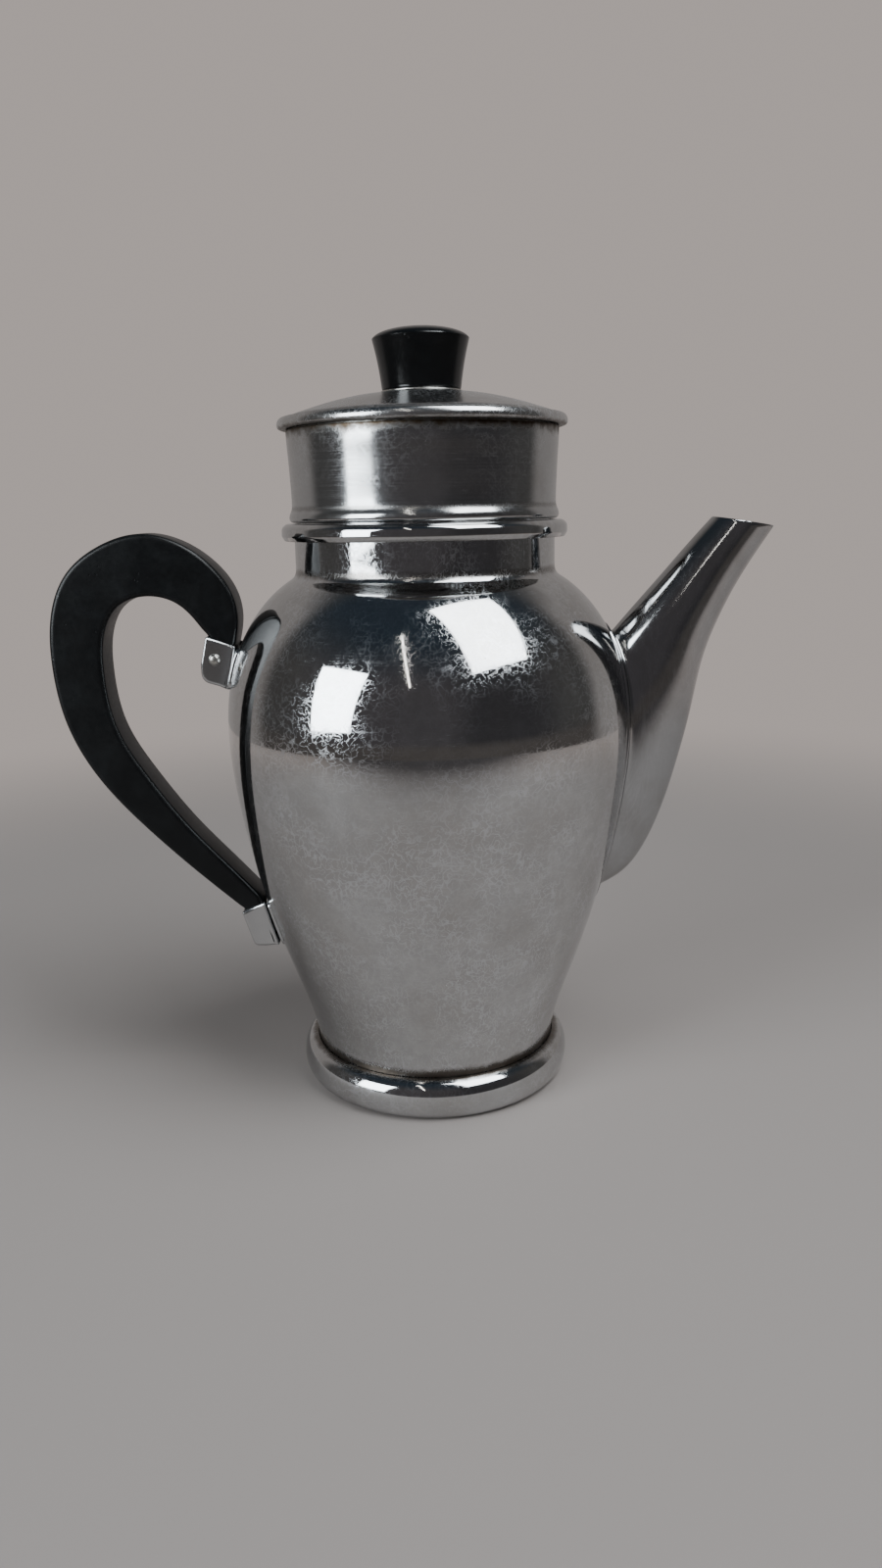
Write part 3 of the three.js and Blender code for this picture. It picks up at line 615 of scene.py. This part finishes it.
black_knob = bakelite("knob_bakelite", 0.13, 0.4, 0.42, 0.0000025)


def done(piece, body, slot, *nodes):
    """Rides the piece on its body and hides the CAD parts that it stands for."""
    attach(piece, body)
    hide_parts(*nodes)
    return piece


# ---- Pot body ----

BODY_KNOTS = [
    (40.3, 14), (41.5, 21), (44.5, 30.2), (50.1, 46), (56.2, 66), (61.4, 90),
    (64.2, 111), (64.7, 125), (62.7, 138.2), (58.1, 150.5), (50.4, 160.2), (42.6, 167.2),
]
NECK_R = 40.9
NECK_TOP = 184.1
BODY_WALL = 1.0
WIDEST = 64.8
SPOUT_MIDDLE = 105  # height of the middle of the spout's root
OPENING_HALF = 8.6  # half the width of the hole under the spout
OPENING_REACH = 37.5  # half its height
FOOT_R = 40.6
FOOT_HEIGHT = 13.3


def body_outline():
    """The outside of the pot from the foot to the neck, as (radius, height)."""
    belly = fair(BODY_KNOTS, 9, 112)
    belly[:, 0] *= min(1, WIDEST / belly[:, 0].max())
    start = belly[-1]
    heading = belly[-1] - belly[-2]
    corner = start + heading * (NECK_R - start[0]) / heading[0]
    neck = bezier([start, corner, (NECK_R, corner[1] + 2.2)], 8)[1:]
    foot = [(40.3, 1.5), (40.3, 7), (40.3, 12)]
    straight = [(NECK_R, z) for z in (174, 178, 182)]
    return np.array([*foot, *belly, *neck, *straight])


OUTLINE = body_outline()


def body_radius(z):
    """The body's outer radius at a height."""
    return float(np.interp(z, OUTLINE[:, 1], OUTLINE[:, 0]))


def body_slope(z):
    """Change of the body's radius with height."""
    return (body_radius(z + 0.4) - body_radius(z - 0.4)) / 0.8


def on_body(point, out):
    """The point moved level with its own direction until it is out millimetres off the body."""
    x, y, z = point
    r = body_radius(z) + out * math.hypot(1, body_slope(z))
    here = math.hypot(x, y)
    return np.array([x * r / here, y * r / here, z])


def make_body():
    """The shell, with its lip, and the hole under the spout."""
    outside = [*OUTLINE, (NECK_R, NECK_TOP - 0.3), (NECK_R - 0.25, NECK_TOP)]
    inside = offset_line(OUTLINE, BODY_WALL)[::-2]
    inside = [(max(r, 0), z) for r, z in inside]
    lip = [(NECK_R - BODY_WALL + 0.25, NECK_TOP), (NECK_R - BODY_WALL, NECK_TOP - 0.3)]
    body = turned("pot_body_shell", [*outside, *lip, *inside], plate_body)
    hole = []
    for k in range(64):
        a = 2 * math.pi * k / 64
        narrower = 1 - 0.12 * math.cos(a)
        hole.append((OPENING_HALF * math.sin(a) * narrower, SPOUT_MIDDLE + OPENING_REACH * math.cos(a)))
    cutter = prism("spout_opening", hole, 30, 90)
    combine(body, cutter, "DIFFERENCE")
    return body


def prism(name, outline, low, high):
    """A straight solid along x from an outline in (y, z)."""
    n = len(outline)
    verts = [(x, y, z) for x in (low, high) for y, z in outline]
    faces = [tuple(range(n)), tuple(range(n, 2 * n))]
    faces += [(k, (k + 1) % n, n + (k + 1) % n, n + k) for k in range(n)]
    return add_piece(name, verts, faces, plate_body)


done(make_body(), "pot", "chrome_plate", "pot_body")

base = rounded([(0, 2.0), (31, 2.0, 1), (33.5, 1.15, 1), (40.25, 1.15, 0.2), (40.25, 0, 0.4), (37.5, 0, 0.8),
                (35, 0.9, 1), (31.8, 1.2, 0.8), (0, 1.2)], 4)
done(turned("base_plate_disc", base, nickel), "pot", "satin_nickel", "base_plate")


def half_ellipse(inner, bulge, height, count, squash=1.0):
    """Half an ellipse on its flat side, as (radius, height). A squash under 1 makes it fuller."""
    found = []
    for k in range(count + 1):
        a = math.pi * k / count - math.pi / 2
        found.append((inner + bulge * math.cos(a) ** squash, height / 2 + height / 2 * math.sin(a)))
    return found


FOOT_OUT = half_ellipse(FOOT_R, 4.7, FOOT_HEIGHT, 40, 0.9)
FOOT_IN = [(r, 0.9 + z * (FOOT_HEIGHT - 1.8) / FOOT_HEIGHT)
           for r, z in half_ellipse(FOOT_R, 3.8, FOOT_HEIGHT, 24)][::-1]
done(turned("foot_ring_band", [*FOOT_OUT, *FOOT_IN], plate_foot), "pot", "chrome_plate", "foot_ring")

neck_ring = rounded([(41.0, 179.2), (43.9, 179.2, 0.3), (44.8, 180.6, 1.3), (44.75, 183.1, 1.8),
                     (43.2, 184.4, 2.2), (41.0, 184.4, 0.4)], 8)
done(turned("neck_ring_bead", neck_ring, plate_ring), "pot", "chrome_plate", "neck_ring")


# ---- Spout ----

# Each section: upper edge x, z, lower edge x, z, half width in y.
SPOUT = np.array([
    (91.0, 184.2, 110.3, 181.0, 8.0), (83.5, 176.0, 101.2, 167.0, 8.6), (76.2, 167.6, 94.4, 154.0, 9.4),
    (68.6, 159.0, 89.0, 139.5, 10.4), (61.6, 151.0, 85.8, 123.5, 11.2), (57.0, 145.5, 81.8, 106.5, 11.6),
    (53.0, 140.5, 76.0, 87.5, 11.6), (49.5, 136.0, 67.0, 70.5, 11.2), (47.0, 132.5, 55.5, 62.5, 10.5),
])
SPOUT_WALL = 0.9
SPOUT_ROUND = 144
SECTION_AT = np.arange(len(SPOUT), dtype=float)
SECTION_SLOPES = np.array([natural_slopes(SECTION_AT, SPOUT[:, c]) for c in range(5)]).T


def spout_point(t, angle, shrink=0.0):
    """A point of the spout's surface. t runs from 0 at the mouth to 8 inside the body."""
    ux, uz, lx, lz, half = hermite(SECTION_AT, SPOUT, SECTION_SLOPES, np.array([t]))[0]
    middle = np.array([(ux + lx) / 2, 0, (uz + lz) / 2])
    up = np.array([ux - lx, 0, uz - lz]) / 2
    length = np.linalg.norm(up)
    up *= (length - shrink) / length
    return middle + up * math.cos(angle) + np.array([0, (half - shrink) * math.sin(angle), 0])


def spout_meets(angle, out, shrink=0.0):
    """Where the spout's surface comes to out millimetres off the body, from the mouth inwards."""
    high = 8.0
    for t in np.linspace(0, 8, 161):
        p = spout_point(t, angle, shrink)
        if math.hypot(p[0], p[1]) - body_radius(p[2]) < out:
            high = t
            break
    low = max(high - 0.05, 0)
    for _ in range(20):
        mid = (low + high) / 2
        p = spout_point(mid, angle, shrink)
        if math.hypot(p[0], p[1]) - body_radius(p[2]) < out:
            high = mid
        else:
            low = mid
    return high


def make_spout():
    """Tube, fillet at its root, thin flange on the body, channel inside and a soft lip, as one skin."""
    rise = 0.55  # height of the flange over the body
    angles = [2 * math.pi * k / SPOUT_ROUND for k in range(SPOUT_ROUND)]
    feet = np.array([on_body(spout_point(spout_meets(a, rise), a), rise) for a in angles])
    along = np.roll(feet, -1, axis=0) - np.roll(feet, 1, axis=0)
    columns = []
    for k, a in enumerate(angles):
        foot = feet[k]
        normal = np.array([foot[0], foot[1], -body_slope(foot[2]) * math.hypot(foot[0], foot[1])])
        outward = np.cross(along[k], normal)
        outward /= np.linalg.norm(outward)  # away from the spout, along the body
        if outward @ (foot - np.array([foot[0], 0, SPOUT_MIDDLE])) < 0:
            outward = -outward
        wide = 2.3 + 2.6 * max(0, -math.cos(a)) ** 6 + 0.9 * max(0, math.cos(a)) ** 6
        fillet = min(2.1, wide)
        start_t = spout_meets(a, 2.6)
        column = [spout_point(t, a) for t in np.linspace(0.035, start_t, 90)]
        start = column[-1]
        inner = on_body(foot + outward * fillet * 0.8, rise)
        column += bezier([start, start + (foot - start) * 0.8, foot + (inner - foot) * 0.25, inner], 9)[1:]
        for share in (0.5, 1.0):
            column.append(on_body(foot + outward * (fillet * 0.8 + (wide - fillet * 0.8) * share), rise))
        rim = ((wide + 0.12, rise - 0.1), (wide + 0.2, rise - 0.3), (wide + 0.2, -0.25), (0.5, -0.35))
        column += [on_body(foot + outward * reach, out) for reach, out in rim]
        end_t = spout_meets(a, -0.6, SPOUT_WALL)
        column += [spout_point(t, a, SPOUT_WALL) for t in np.linspace(end_t, 0.035, 40)]
        edge_out, edge_in = column[0], column[-1]
        tip = spout_point(0.0, a, SPOUT_WALL / 2)
        lip = (tip - (edge_in + edge_out) / 2) * 0.7
        column += [0.75 * (edge_in + lip) + 0.25 * tip, tip, 0.75 * (edge_out + lip) + 0.25 * tip]
        columns.append(column)
    return tube_of("spout_tube", columns, plate_spout, 50)


done(make_spout(), "pot", "chrome_plate", "spout")


# ---- Handle and its sockets ----

HANDLE_HALF = 7.0  # half widths in y
POCKET_HALF = 7.25
CUP_HALF = 8.25
BRIDGE_HALF = 5.5
PLATE_HALF = 10.4
PLATE_THICK = 0.9
CUP_SHARP = 35
CHEEK_FROM = 7.0  # the cheeks of a cup are further out than this
CHEEK_STRIPS = 12


def handle_outline():
    """The scroll's outline in (x, z), anticlockwise. Its two ends are rounded inside the sockets."""
    hook = spline([(-60.9, 147.5), (-59.6, 154.5), (-61, 163.6), (-66.8, 172.2), (-75.6, 178.8),
                   (-87.5, 182.3), (-101.5, 178.9), (-113, 170), (-118.8, 156), (-119.56, 141),
                   (-116.6, 122.8), (-108, 105), (-93.2, 87.2), (-78, 72.2), (-64.6, 60.1)], 190)
    lower_end = rounded([(-63.2, 59.0), (-60.6, 50.4, 1.6), (-59.3, 47.9, 1.2), (-52.9, 48.8, 1.6),
                         (-54.6, 55)], 4, False)
    grip = spline([(-57.6, 63.6), (-65.2, 72.2), (-79, 87.6), (-91.8, 105.4), (-100.3, 121.2),
                   (-103.1, 139), (-102.2, 151), (-97.6, 159.6), (-88.5, 163.0), (-78.2, 160.3),
                   (-71.2, 152.6)], 150)
    upper_end = rounded([(-69.9, 151.1), (-69.2, 150.1), (-70.8, 142, 1.5), (-71.0, 137.9, 1.8),
                         (-64.4, 137.4, 1.8), (-62.4, 143.5)], 4, False)
    return [*hook, *lower_end, *grip, *upper_end]


handle = slab("handle_grip", handle_outline(), HANDLE_HALF, 1.5, black_handle)
done(handle, "pot", "handle_bakelite", "handle")


def saddle(name, low, high):
    """A thin round-cornered plate that lies on the body, on the handle's side."""
    half, thick = PLATE_HALF, PLATE_THICK
    middle = (low + high) / 2
    corners = ((-half, low), (half, low), (half, high), (-half, high))
    shape = np.array(rounded([(y, z, 2.2) for y, z in corners]))
    dense = []
    for p, q in zip(shape, np.roll(shape, -1, axis=0)):
        cuts = max(1, int(np.linalg.norm(q - p) / 1.2))
        dense += [p + (q - p) * k / cuts for k in range(cuts)]
    dense = np.array(dense)
    levels = [(0, -0.25), (0, thick - 0.35), (0.1, thick - 0.1), (0.35, thick)]
    rings = []
    for inset, out in levels:
        size = np.array([(half - inset) / half, ((high - low) / 2 - inset) / ((high - low) / 2)])
        rings.append((np.column_stack([dense[:, 0], dense[:, 1] - middle]) * size, out))
    for share in (0.8, 0.6, 0.4, 0.2):
        rings.append((rings[3][0] * share, thick))
    rings = [(rings[0][0] * share, -0.25) for share in (0.3, 0.65)] + rings
    n = len(dense)
    verts = []
    for ring, out in rings:
        for y, z in ring:
            r = body_radius(z + middle) + out
            verts.append((-math.sqrt(r * r - y * y), y, z + middle))
    faces = ring_faces(len(rings), n)
    faces.append(tuple(range(n)))
    faces.append(tuple(range((len(rings) - 1) * n, len(rings) * n)))
    return add_piece(name, verts, faces, plate_small, None, 50)


def cup(name, outside, pocket, bridge, lean):
    """A bent sheet cup, open above and towards the body, with a bridge to the plate behind it."""
    piece = slab(name, outside, CUP_HALF, 0.9, plate_small, 4, CUP_SHARP)
    hollow = slab(name + "_hollow", pocket, POCKET_HALF, 0.3, plate_small, 2)
    combine(piece, hollow, "DIFFERENCE")
    link = slab(name + "_bridge", bridge, BRIDGE_HALF, 0.3, plate_small, 2)
    combine(piece, link, "UNION")
    belly_out(piece, lean, 0.55)
    return piece


def belly_out(piece, lean, swell):
    """Curves the cup's two cheeks across their width, along fold lines that run in the direction lean."""
    across = Vector((lean[1], 0, -lean[0])).normalized()
    reach = [v.co.dot(across) / MM for v in piece.data.vertices if abs(v.co.y) > (CHEEK_FROM + 0.2) * MM]
    low, high = min(reach), max(reach)
    bm = bmesh.new()
    bm.from_mesh(piece.data)
    for k in range(1, CHEEK_STRIPS):
        point = across * (low + (high - low) * k / CHEEK_STRIPS) * MM
        bmesh.ops.bisect_plane(bm, geom=[*bm.verts, *bm.edges, *bm.faces], plane_co=point, plane_no=across)
    for v in bm.verts:
        if abs(v.co.y) > CHEEK_FROM * MM:
            u = 2 * (v.co.dot(across) / MM - low) / (high - low) - 1
            v.co.y += math.copysign(swell * MM * (max(0, 1 - u * u) - 1), v.co.y)
    bmesh.ops.recalc_face_normals(bm, faces=bm.faces)
    bm.to_mesh(piece.data)
    bm.free()
    piece.data.shade_smooth()
    piece.data.set_sharp_from_angle(angle=math.radians(CUP_SHARP))


UPPER_CUP = rounded([(-63.5, 133.2, 0.4), (-60.5, 147.0, 0.5), (-69.8, 150.3, 0.5), (-71.8, 141.6, 6),
                     (-71.9, 136.0, 3.6), (-66.6, 134.5, 4)], 6)
UPPER_POCKET = rounded([(-54, 136.4), (-54, 160), (-67.4, 160), (-71.15, 141.9, 3), (-71.2, 136.9, 3.0),
                        (-66.2, 135.4, 3)], 6)
UPPER_BRIDGE = [(-66.5, 134.0), (-61.0, 133.8), (-61.0, 136.0), (-66.2, 135.8)]
LOWER_CUP = rounded([(-51.6, 46.5, 0.4), (-55.9, 61.8, 0.5), (-63.7, 58.4, 0.5), (-60.9, 49.6, 4),
                     (-59.9, 46.4, 2.6), (-56.4, 46.2, 2)], 6)
LOWER_POCKET = rounded([(-44, 47.2), (-52, 74), (-67.4, 72), (-60.2, 50.0, 3), (-59.2, 47.2, 2.0),
                        (-56.4, 47.0, 2)], 6)
LOWER_BRIDGE = [(-56.5, 46.4), (-50.6, 46.9), (-51.6, 49.5), (-56.5, 48.6)]

upper = cup("upper_handle_cup", UPPER_CUP, UPPER_POCKET, UPPER_BRIDGE, (0.28, 1))
done(upper, "pot", "chrome_plate", "upper_handle_socket")
lower = cup("lower_handle_cup", LOWER_CUP, LOWER_POCKET, LOWER_BRIDGE, (-0.3, 1))
done(lower, "pot", "chrome_plate", "lower_handle_socket")
upper_plate = saddle("upper_cup_plate", 133.4, 146.6)
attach(upper_plate, "pot")
lower_plate = saddle("lower_cup_plate", 46.9, 62.2)
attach(lower_plate, "pot")

PIN_X, PIN_Z = -67.3, 143.0
pin_head = bezier([(0, 9.4), (1.1, 9.4), (1.9, 8.9), (1.9, 8.0)], 8)
pin_side = [*pin_head, (1.2, 8.0), (1.2, 0)]
pin_profile = [*pin_side, *[(r, -h) for r, h in reversed(pin_side[:-1])]]
along_y = Matrix.Translation((PIN_X, 0, PIN_Z)) @ Matrix.Rotation(math.pi / 2, 4, "X")
pin = turned("handle_pin_rivet", pin_profile, nickel, SMALL, SHARP, along_y)
done(pin, "pot", "satin_nickel", "handle_pin")


# ---- Filter ----

FILTER_OUT = [
    *rounded([(36.2, 146.0), (39.0, 146.0, 0.5), (39.4, 147, 0.5), (39.4, 184.7, 0.4)], 4, False),
    *spline([(41.35, 184.72), (42.0, 185.3), (42.15, 186.2), (41.9, 187.3), (41.4, 188.5), (41.22, 190.0),
             (41.25, 193), (41.45, 198), (41.75, 204), (42.0, 208), (42.12, 211.6)], 60),
    (42.0, 212.05),
]
FILTER_IN = [
    (41.4, 212.05), (41.3, 211.6), *offset_line(FILTER_OUT[-52:-2], 0.8)[::-1],
    (41.0, 185.9), (38.9, 185.5), (38.6, 185.2), (38.6, 147.2), (38.4, 146.8), (36.2, 146.8),
]
filter_wall = turned("filter_wall", [*FILTER_OUT, *FILTER_IN], plate_filter, ROUND, 40)
done(filter_wall, "filter", "chrome_plate", "filter_shell")


def ring_of_holes(ring, pitch, turn):
    """Centres of the holes of one ring, six more than in the ring inside it."""
    count = 6 * ring
    return [(ring * pitch * math.cos(2 * math.pi * k / count + turn),
             ring * pitch * math.sin(2 * math.pi * k / count + turn)) for k in range(count)]


def sieve(name, radius, low, high, holes, hole_radius, material, centre_hole=0.0):
    """A flat disc with real round holes."""
    points, edges = [], []

    def ring(cx, cy, r, sides):
        first = len(points)
        for k in range(sides):
            a = 2 * math.pi * k / sides
            points.append(Vector((cx + r * math.cos(a), cy + r * math.sin(a))))
        edges.extend((first + k, first + (k + 1) % sides) for k in range(sides))

    ring(0, 0, radius, 128)
    for cx, cy in holes:
        ring(cx, cy, hole_radius, 20)
    if centre_hole:
        ring(0, 0, centre_hole, 24)
    found = delaunay_2d_cdt(points, edges, [], 0, 1e-5)
    bm = bmesh.new()
    top = [bm.verts.new((v[0] * MM, v[1] * MM, high * MM)) for v in found[0]]
    bottom = [bm.verts.new((v[0] * MM, v[1] * MM, low * MM)) for v in found[0]]
    centres = [(cx, cy, hole_radius) for cx, cy in holes] + ([(0, 0, centre_hole)] if centre_hole else [])
    used = {}
    for face in found[2]:
        mx = sum(found[0][i][0] for i in face) / len(face)
        my = sum(found[0][i][1] for i in face) / len(face)
        if math.hypot(mx, my) > radius or any(math.hypot(mx - cx, my - cy) < r for cx, cy, r in centres):
            continue
        bm.faces.new([top[i] for i in face])
        bm.faces.new([bottom[i] for i in reversed(face)])
        for a, b in zip(face, [*face[1:], face[0]]):
            key = (min(a, b), max(a, b))
            used[key] = None if key in used else (a, b)
    for pair in used.values():
        if pair:
            a, b = pair
            bm.faces.new((top[b], top[a], bottom[a], bottom[b]))
    for v in [v for v in bm.verts if not v.link_faces]:
        bm.verts.remove(v)
    mesh = bpy.data.meshes.new(name)
    bm.to_mesh(mesh)
    bm.free()
    return finish_mesh(name, mesh, material, SHARP)


filter_holes = [(0, 0)] + [h for ring in range(1, 9) for h in ring_of_holes(ring, 4.2, 0.13 * ring)]
filter_disc = sieve("filter_sieve", 38.3, 147.1, 147.9, filter_holes, 0.75, nickel)
done(filter_disc, "filter", "satin_nickel", "filter_plate")

spreader_holes = [h for ring in range(1, 5) for h in ring_of_holes(ring, 8.0, math.pi / 12 + 0.1 * ring)]
spreader = sieve("spreader_sieve", 38.6, 185.8, 186.6, spreader_holes, 1.2, nickel, 1.6)
spreader_rim = rounded([(38.5, 185.8), (39.5, 185.8, 0.6), (39.8, 186.6, 0.6), (39.8, 189.0, 0.35),
                        (39.1, 189.0, 0.35), (39.1, 186.6, 0.5), (38.5, 186.6)], 5)
rim = turned("spreader_rim", spreader_rim, nickel)
done(spreader, "spreader", "satin_nickel", "spreader_disc")
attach(rim, "spreader")

stem = rounded([(0, 182.3), (1.6, 182.3, 0.4), (1.6, 186.9, 0), (3.2, 186.9, 0.3), (3.2, 188.4, 0.5),
                (1.6, 188.6, 0.4), (1.6, 203.0), (0, 203.0)], 4)
done(turned("spreader_rod", stem, nickel, SMALL), "spreader", "satin_nickel", "spreader_stem")


def hex_nut(name, low, high, radius, bore, material):
    """A six-sided nut whose corners are turned off above and below."""
    rows = [(low, bore), (low, radius * 0.87), (low + 0.35, radius), (high - 0.35, radius),
            (high, radius * 0.87), (high, bore)]
    sides = 36
    verts = []
    for z, r in rows:
        for k in range(sides):
            a = 2 * math.pi * k / sides
            flat = radius * math.cos(math.pi / 6) / math.cos((a % (math.pi / 3)) - math.pi / 6)
            reach = r if r == bore else min(r, flat)
            verts.append((reach * math.cos(a), reach * math.sin(a), z))
    return add_piece(name, verts, ring_faces(len(rows), sides, True), material, None, 25)


nut = hex_nut("spreader_hex_nut", 183.1, 185.5, 3.4, 1.65, nickel)
done(nut, "spreader", "satin_nickel", "spreader_nut")
BALL_R, BALL_Z = 5, 203.4
ball_side = [(BALL_R * math.sin(a), BALL_Z - BALL_R * math.cos(a))
             for a in np.linspace(0.4, math.pi - 0.001, 30)]
ball = [(1.6, 198.75), *ball_side, (0, 208.4), (0, 199.5)]
done(turned("spreader_ball", ball, black_knob, SMALL), "spreader", "knob_bakelite", "spreader_knob")


# ---- Lid ----

LID_TOP = [
    *spline([(43.9, 212.42), (44.5, 212.75), (44.75, 213.5), (44.6, 214.5), (44.1, 215.3), (43.4, 215.66),
             (42.8, 215.55), (42.3, 215.22)], 36),
    *spline([(42.0, 215.2), (41.4, 215.78), (38.7, 217), (32.5, 218.95), (24.5, 221), (17.5, 222.15),
             (12, 222.45), (1.95, 222.5)], 50),
]
LID_UNDER = [
    (1.95, 221.7), (12, 221.65), (17.4, 221.35), (24.3, 220.2), (32.3, 218.15), (38.4, 216.2),
    (41.2, 214.95), (42.2, 214.5), (43.3, 214.6), (43.9, 213.8), (43.7, 213.2), (42.9, 213.2),
    (41.4, 213.3), (41.2, 212.9), (41.4, 212.45),
]
done(turned("lid_dome", [*LID_TOP, *LID_UNDER], plate_lid, ROUND, 40), "lid", "chrome_plate", "lid_shell")

collar = rounded([(40.6, 204.5, 0.3), (40.6, 214.3, 0.6), (37.4, 215.7, 0.3), (37.4, 214.9, 0.3),
                  (39.8, 213.8, 0.6), (39.8, 204.5, 0.3)], 4)
done(turned("lid_collar_ring", collar, nickel), "lid", "satin_nickel", "lid_collar")

washer = rounded([(1.9, 222.8), (12.7, 222.8, 0.2), (12.7, 223.3, 0.2), (1.9, 223.3)], 4)
done(turned("knob_washer_disc", washer, nickel, 96), "lid", "satin_nickel", "knob_washer")

crown = bezier([(14.62, 238.75), (13.0, 240.6), (7.4, 241.78), (0, 241.78)], 16)
knob_side = spline([(12.25, 224.3), (12.6, 227), (13.2, 230.8), (14.05, 235), (14.8, 238.1)], 24)
knob = [*rounded([(0, 223.6), (12.1, 223.6, 0.3), tuple(knob_side[0])], 4, False), *knob_side[1:],
        (14.85, 238.45), *crown]
done(turned("lid_knob_grip", knob, black_knob, 96, 45), "lid", "knob_bakelite", "lid_knob")

SCREW = rounded([(0, 219.6), (2.2, 219.6, 0.4), (3.4, 220.2, 0.4), (3.4, 221.4, 0.2), (1.5, 221.4),
                 (1.5, 223.5), (0, 223.5)], 4)
screw = turned("knob_screw_head", SCREW, nickel, SMALL)
slot_cut = slab("screw_slot", [(-4, 219), (4, 219), (4, 220.2), (-4, 220.2)], 0.4, 0.05, nickel, 1)
combine(screw, slot_cut, "DIFFERENCE")
done(screw, "lid", "satin_nickel", "knob_screw")


# ---- Stage: pale floor, soft window lights, plain surroundings ----

FLOOR = (0.235, 0.212, 0.2)
PALE = (0.44, 0.392, 0.37)
DIM = (0.085, 0.08, 0.082)
FLOOR_R = 0.72
EDGE_FADE = (0.3, 0.68)  # distances from the axis between which the floor fades into the surroundings
FRONT_FADE = (-0.2, -0.62)  # values of y between which it fades into the dim room, in reflections


def make_floor():
    """A pale disc without a visible edge, and in reflections without its part in front."""
    bpy.ops.mesh.primitive_circle_add(vertices=128, radius=FLOOR_R, fill_type="NGON")
    floor = bpy.context.object
    floor.name = "floor"
    n = Nodes(bpy.data.materials.new("pale_floor"))
    n.put(n.shader.inputs["Base Color"], (*FLOOR, 1))
    n.put(n.shader.inputs["Roughness"], 0.85)
    place = n.place()
    length = n.node("ShaderNodeVectorMath", operation="LENGTH")
    n.put(length.inputs[0], place)
    edge = n.ramp(length.outputs["Value"], *EDGE_FADE)
    faded = n.mix_shaders(edge, n.shader.outputs[0], n.glow(PALE))
    front = n.ramp(n.axes(place)["Y"], *FRONT_FADE)
    mirrored = n.math("MULTIPLY", front, n.node("ShaderNodeLightPath").outputs["Is Glossy Ray"])
    n.show(n.mix_shaders(mirrored, faded, n.glow(DIM)))
    floor.data.materials.append(n.owner)


def direction(azimuth, elevation):
    """Azimuth from -y towards +x and elevation above the horizon, in degrees."""
    a, e = math.radians(azimuth), math.radians(elevation)
    return Vector((math.sin(a) * math.cos(e), -math.cos(a) * math.cos(e), math.sin(e)))


LIT_POINT = Vector((0, -0.05, 0.14))  # where the directions of the lights are measured from


def window(name, corners, distance, strength, colour):
    """A soft panel of light between four directions, at a distance in metres."""
    verts = [LIT_POINT + direction(*corner) * distance for corner in corners]
    mesh = bpy.data.meshes.new(name)
    mesh.from_pydata(verts, [], [(0, 1, 2, 3)])
    panel = bpy.data.objects.new(name, mesh)
    bpy.context.scene.collection.objects.link(panel)
    panel.visible_camera = False
    n = Nodes(bpy.data.materials.new(name))
    n.show(n.glow(colour, strength))
    mesh.materials.append(n.owner)


# What the reflections show of the room.
FRONT_LEFT, FRONT_RIGHT = (0.084, 0.078, 0.082), (0.052, 0.05, 0.053)
SIDES = (0.085, 0.082, 0.08)
CEILING = (0.032, 0.043, 0.056)
BELOW = (0.10, 0.09, 0.085)
BACKDROP, BACKDROP_TOP = (0.31, 0.288, 0.278), (0.05, 0.055, 0.06)


def make_world():
    """Pale to the camera. In reflections a dim room in front and above, and a pale backdrop behind."""
    world = bpy.data.worlds.new("surroundings")
    bpy.context.scene.world = world
    n = Nodes(world)
    n.tree.nodes.clear()
    x, y, z = n.axes(n.node("ShaderNodeTexCoord").outputs["Generated"])
    room = n.mix(n.ramp(x, 0.1, 0.5), FRONT_LEFT, FRONT_RIGHT)
    room = n.mix(n.ramp(y, -0.55, 0.0), room, SIDES)
    room = n.mix(n.ramp(z, 0.35, 0.9), room, CEILING)
    room = n.mix(n.ramp(z, -0.12, -0.05), BELOW, room)
    backdrop = n.mix(n.ramp(z, 0.55, 0.85), BACKDROP, BACKDROP_TOP)
    reflected = n.mix(n.ramp(y, 0.16, 0.42), room, backdrop)
    seen = n.mix(n.node("ShaderNodeLightPath").outputs["Is Camera Ray"], reflected, PALE)
    shade = n.node("ShaderNodeBackground")
    n.put(shade.inputs["Color"], seen)
    n.put(n.node("ShaderNodeOutputWorld").inputs["Surface"], shade.outputs[0])


make_floor()
make_world()
window("left_window", [(-69, 29.6), (-37.4, 31.8), (-43.5, -0.2), (-66.9, -1.5)], 1.6, 13, (0.90, 0.96, 1.0))
window("right_window", [(8, 82), (116, 65), (68, 32), (29, 31.5)], 1.5, 10, (0.93, 0.97, 1.0))
window("strip_lamp", [(-10.1, 25.6), (-23.4, 60), (-24.8, 60), (-10.7, 25.6)], 1.5, 14, (1.0, 0.95, 0.88))


# ---- Camera ----

CAMERA_AT = (0.00212, -0.37078, 0.18871)
PITCH, ROLL, YAW = 13.593, -1.111, 0.232  # degrees: down, about the line of sight, and to the right
SENSOR, LENS = 36, 26.325
NEAR, FAR = 0.01, 30


def make_camera():
    """Close to the pot, just above its neck ring, and looking down at it."""
    pitch, roll, yaw = (math.radians(v) for v in (PITCH, ROLL, YAW))
    forward = Vector((math.sin(yaw) * math.cos(pitch), math.cos(yaw) * math.cos(pitch), -math.sin(pitch)))
    level = Vector((math.cos(yaw), -math.sin(yaw), 0))
    above = level.cross(forward)
    right = level * math.cos(roll) + above * math.sin(roll)
    up = above * math.cos(roll) - level * math.sin(roll)
    turn = Matrix((right, up, -forward)).transposed().to_4x4()
    data = bpy.data.cameras.new("camera")
    data.sensor_width = SENSOR
    data.lens = LENS
    data.clip_start = NEAR
    data.clip_end = FAR
    camera = bpy.data.objects.new("camera", data)
    camera.matrix_world = Matrix.Translation(CAMERA_AT) @ turn
    bpy.context.scene.collection.objects.link(camera)
    bpy.context.scene.camera = camera


make_camera()
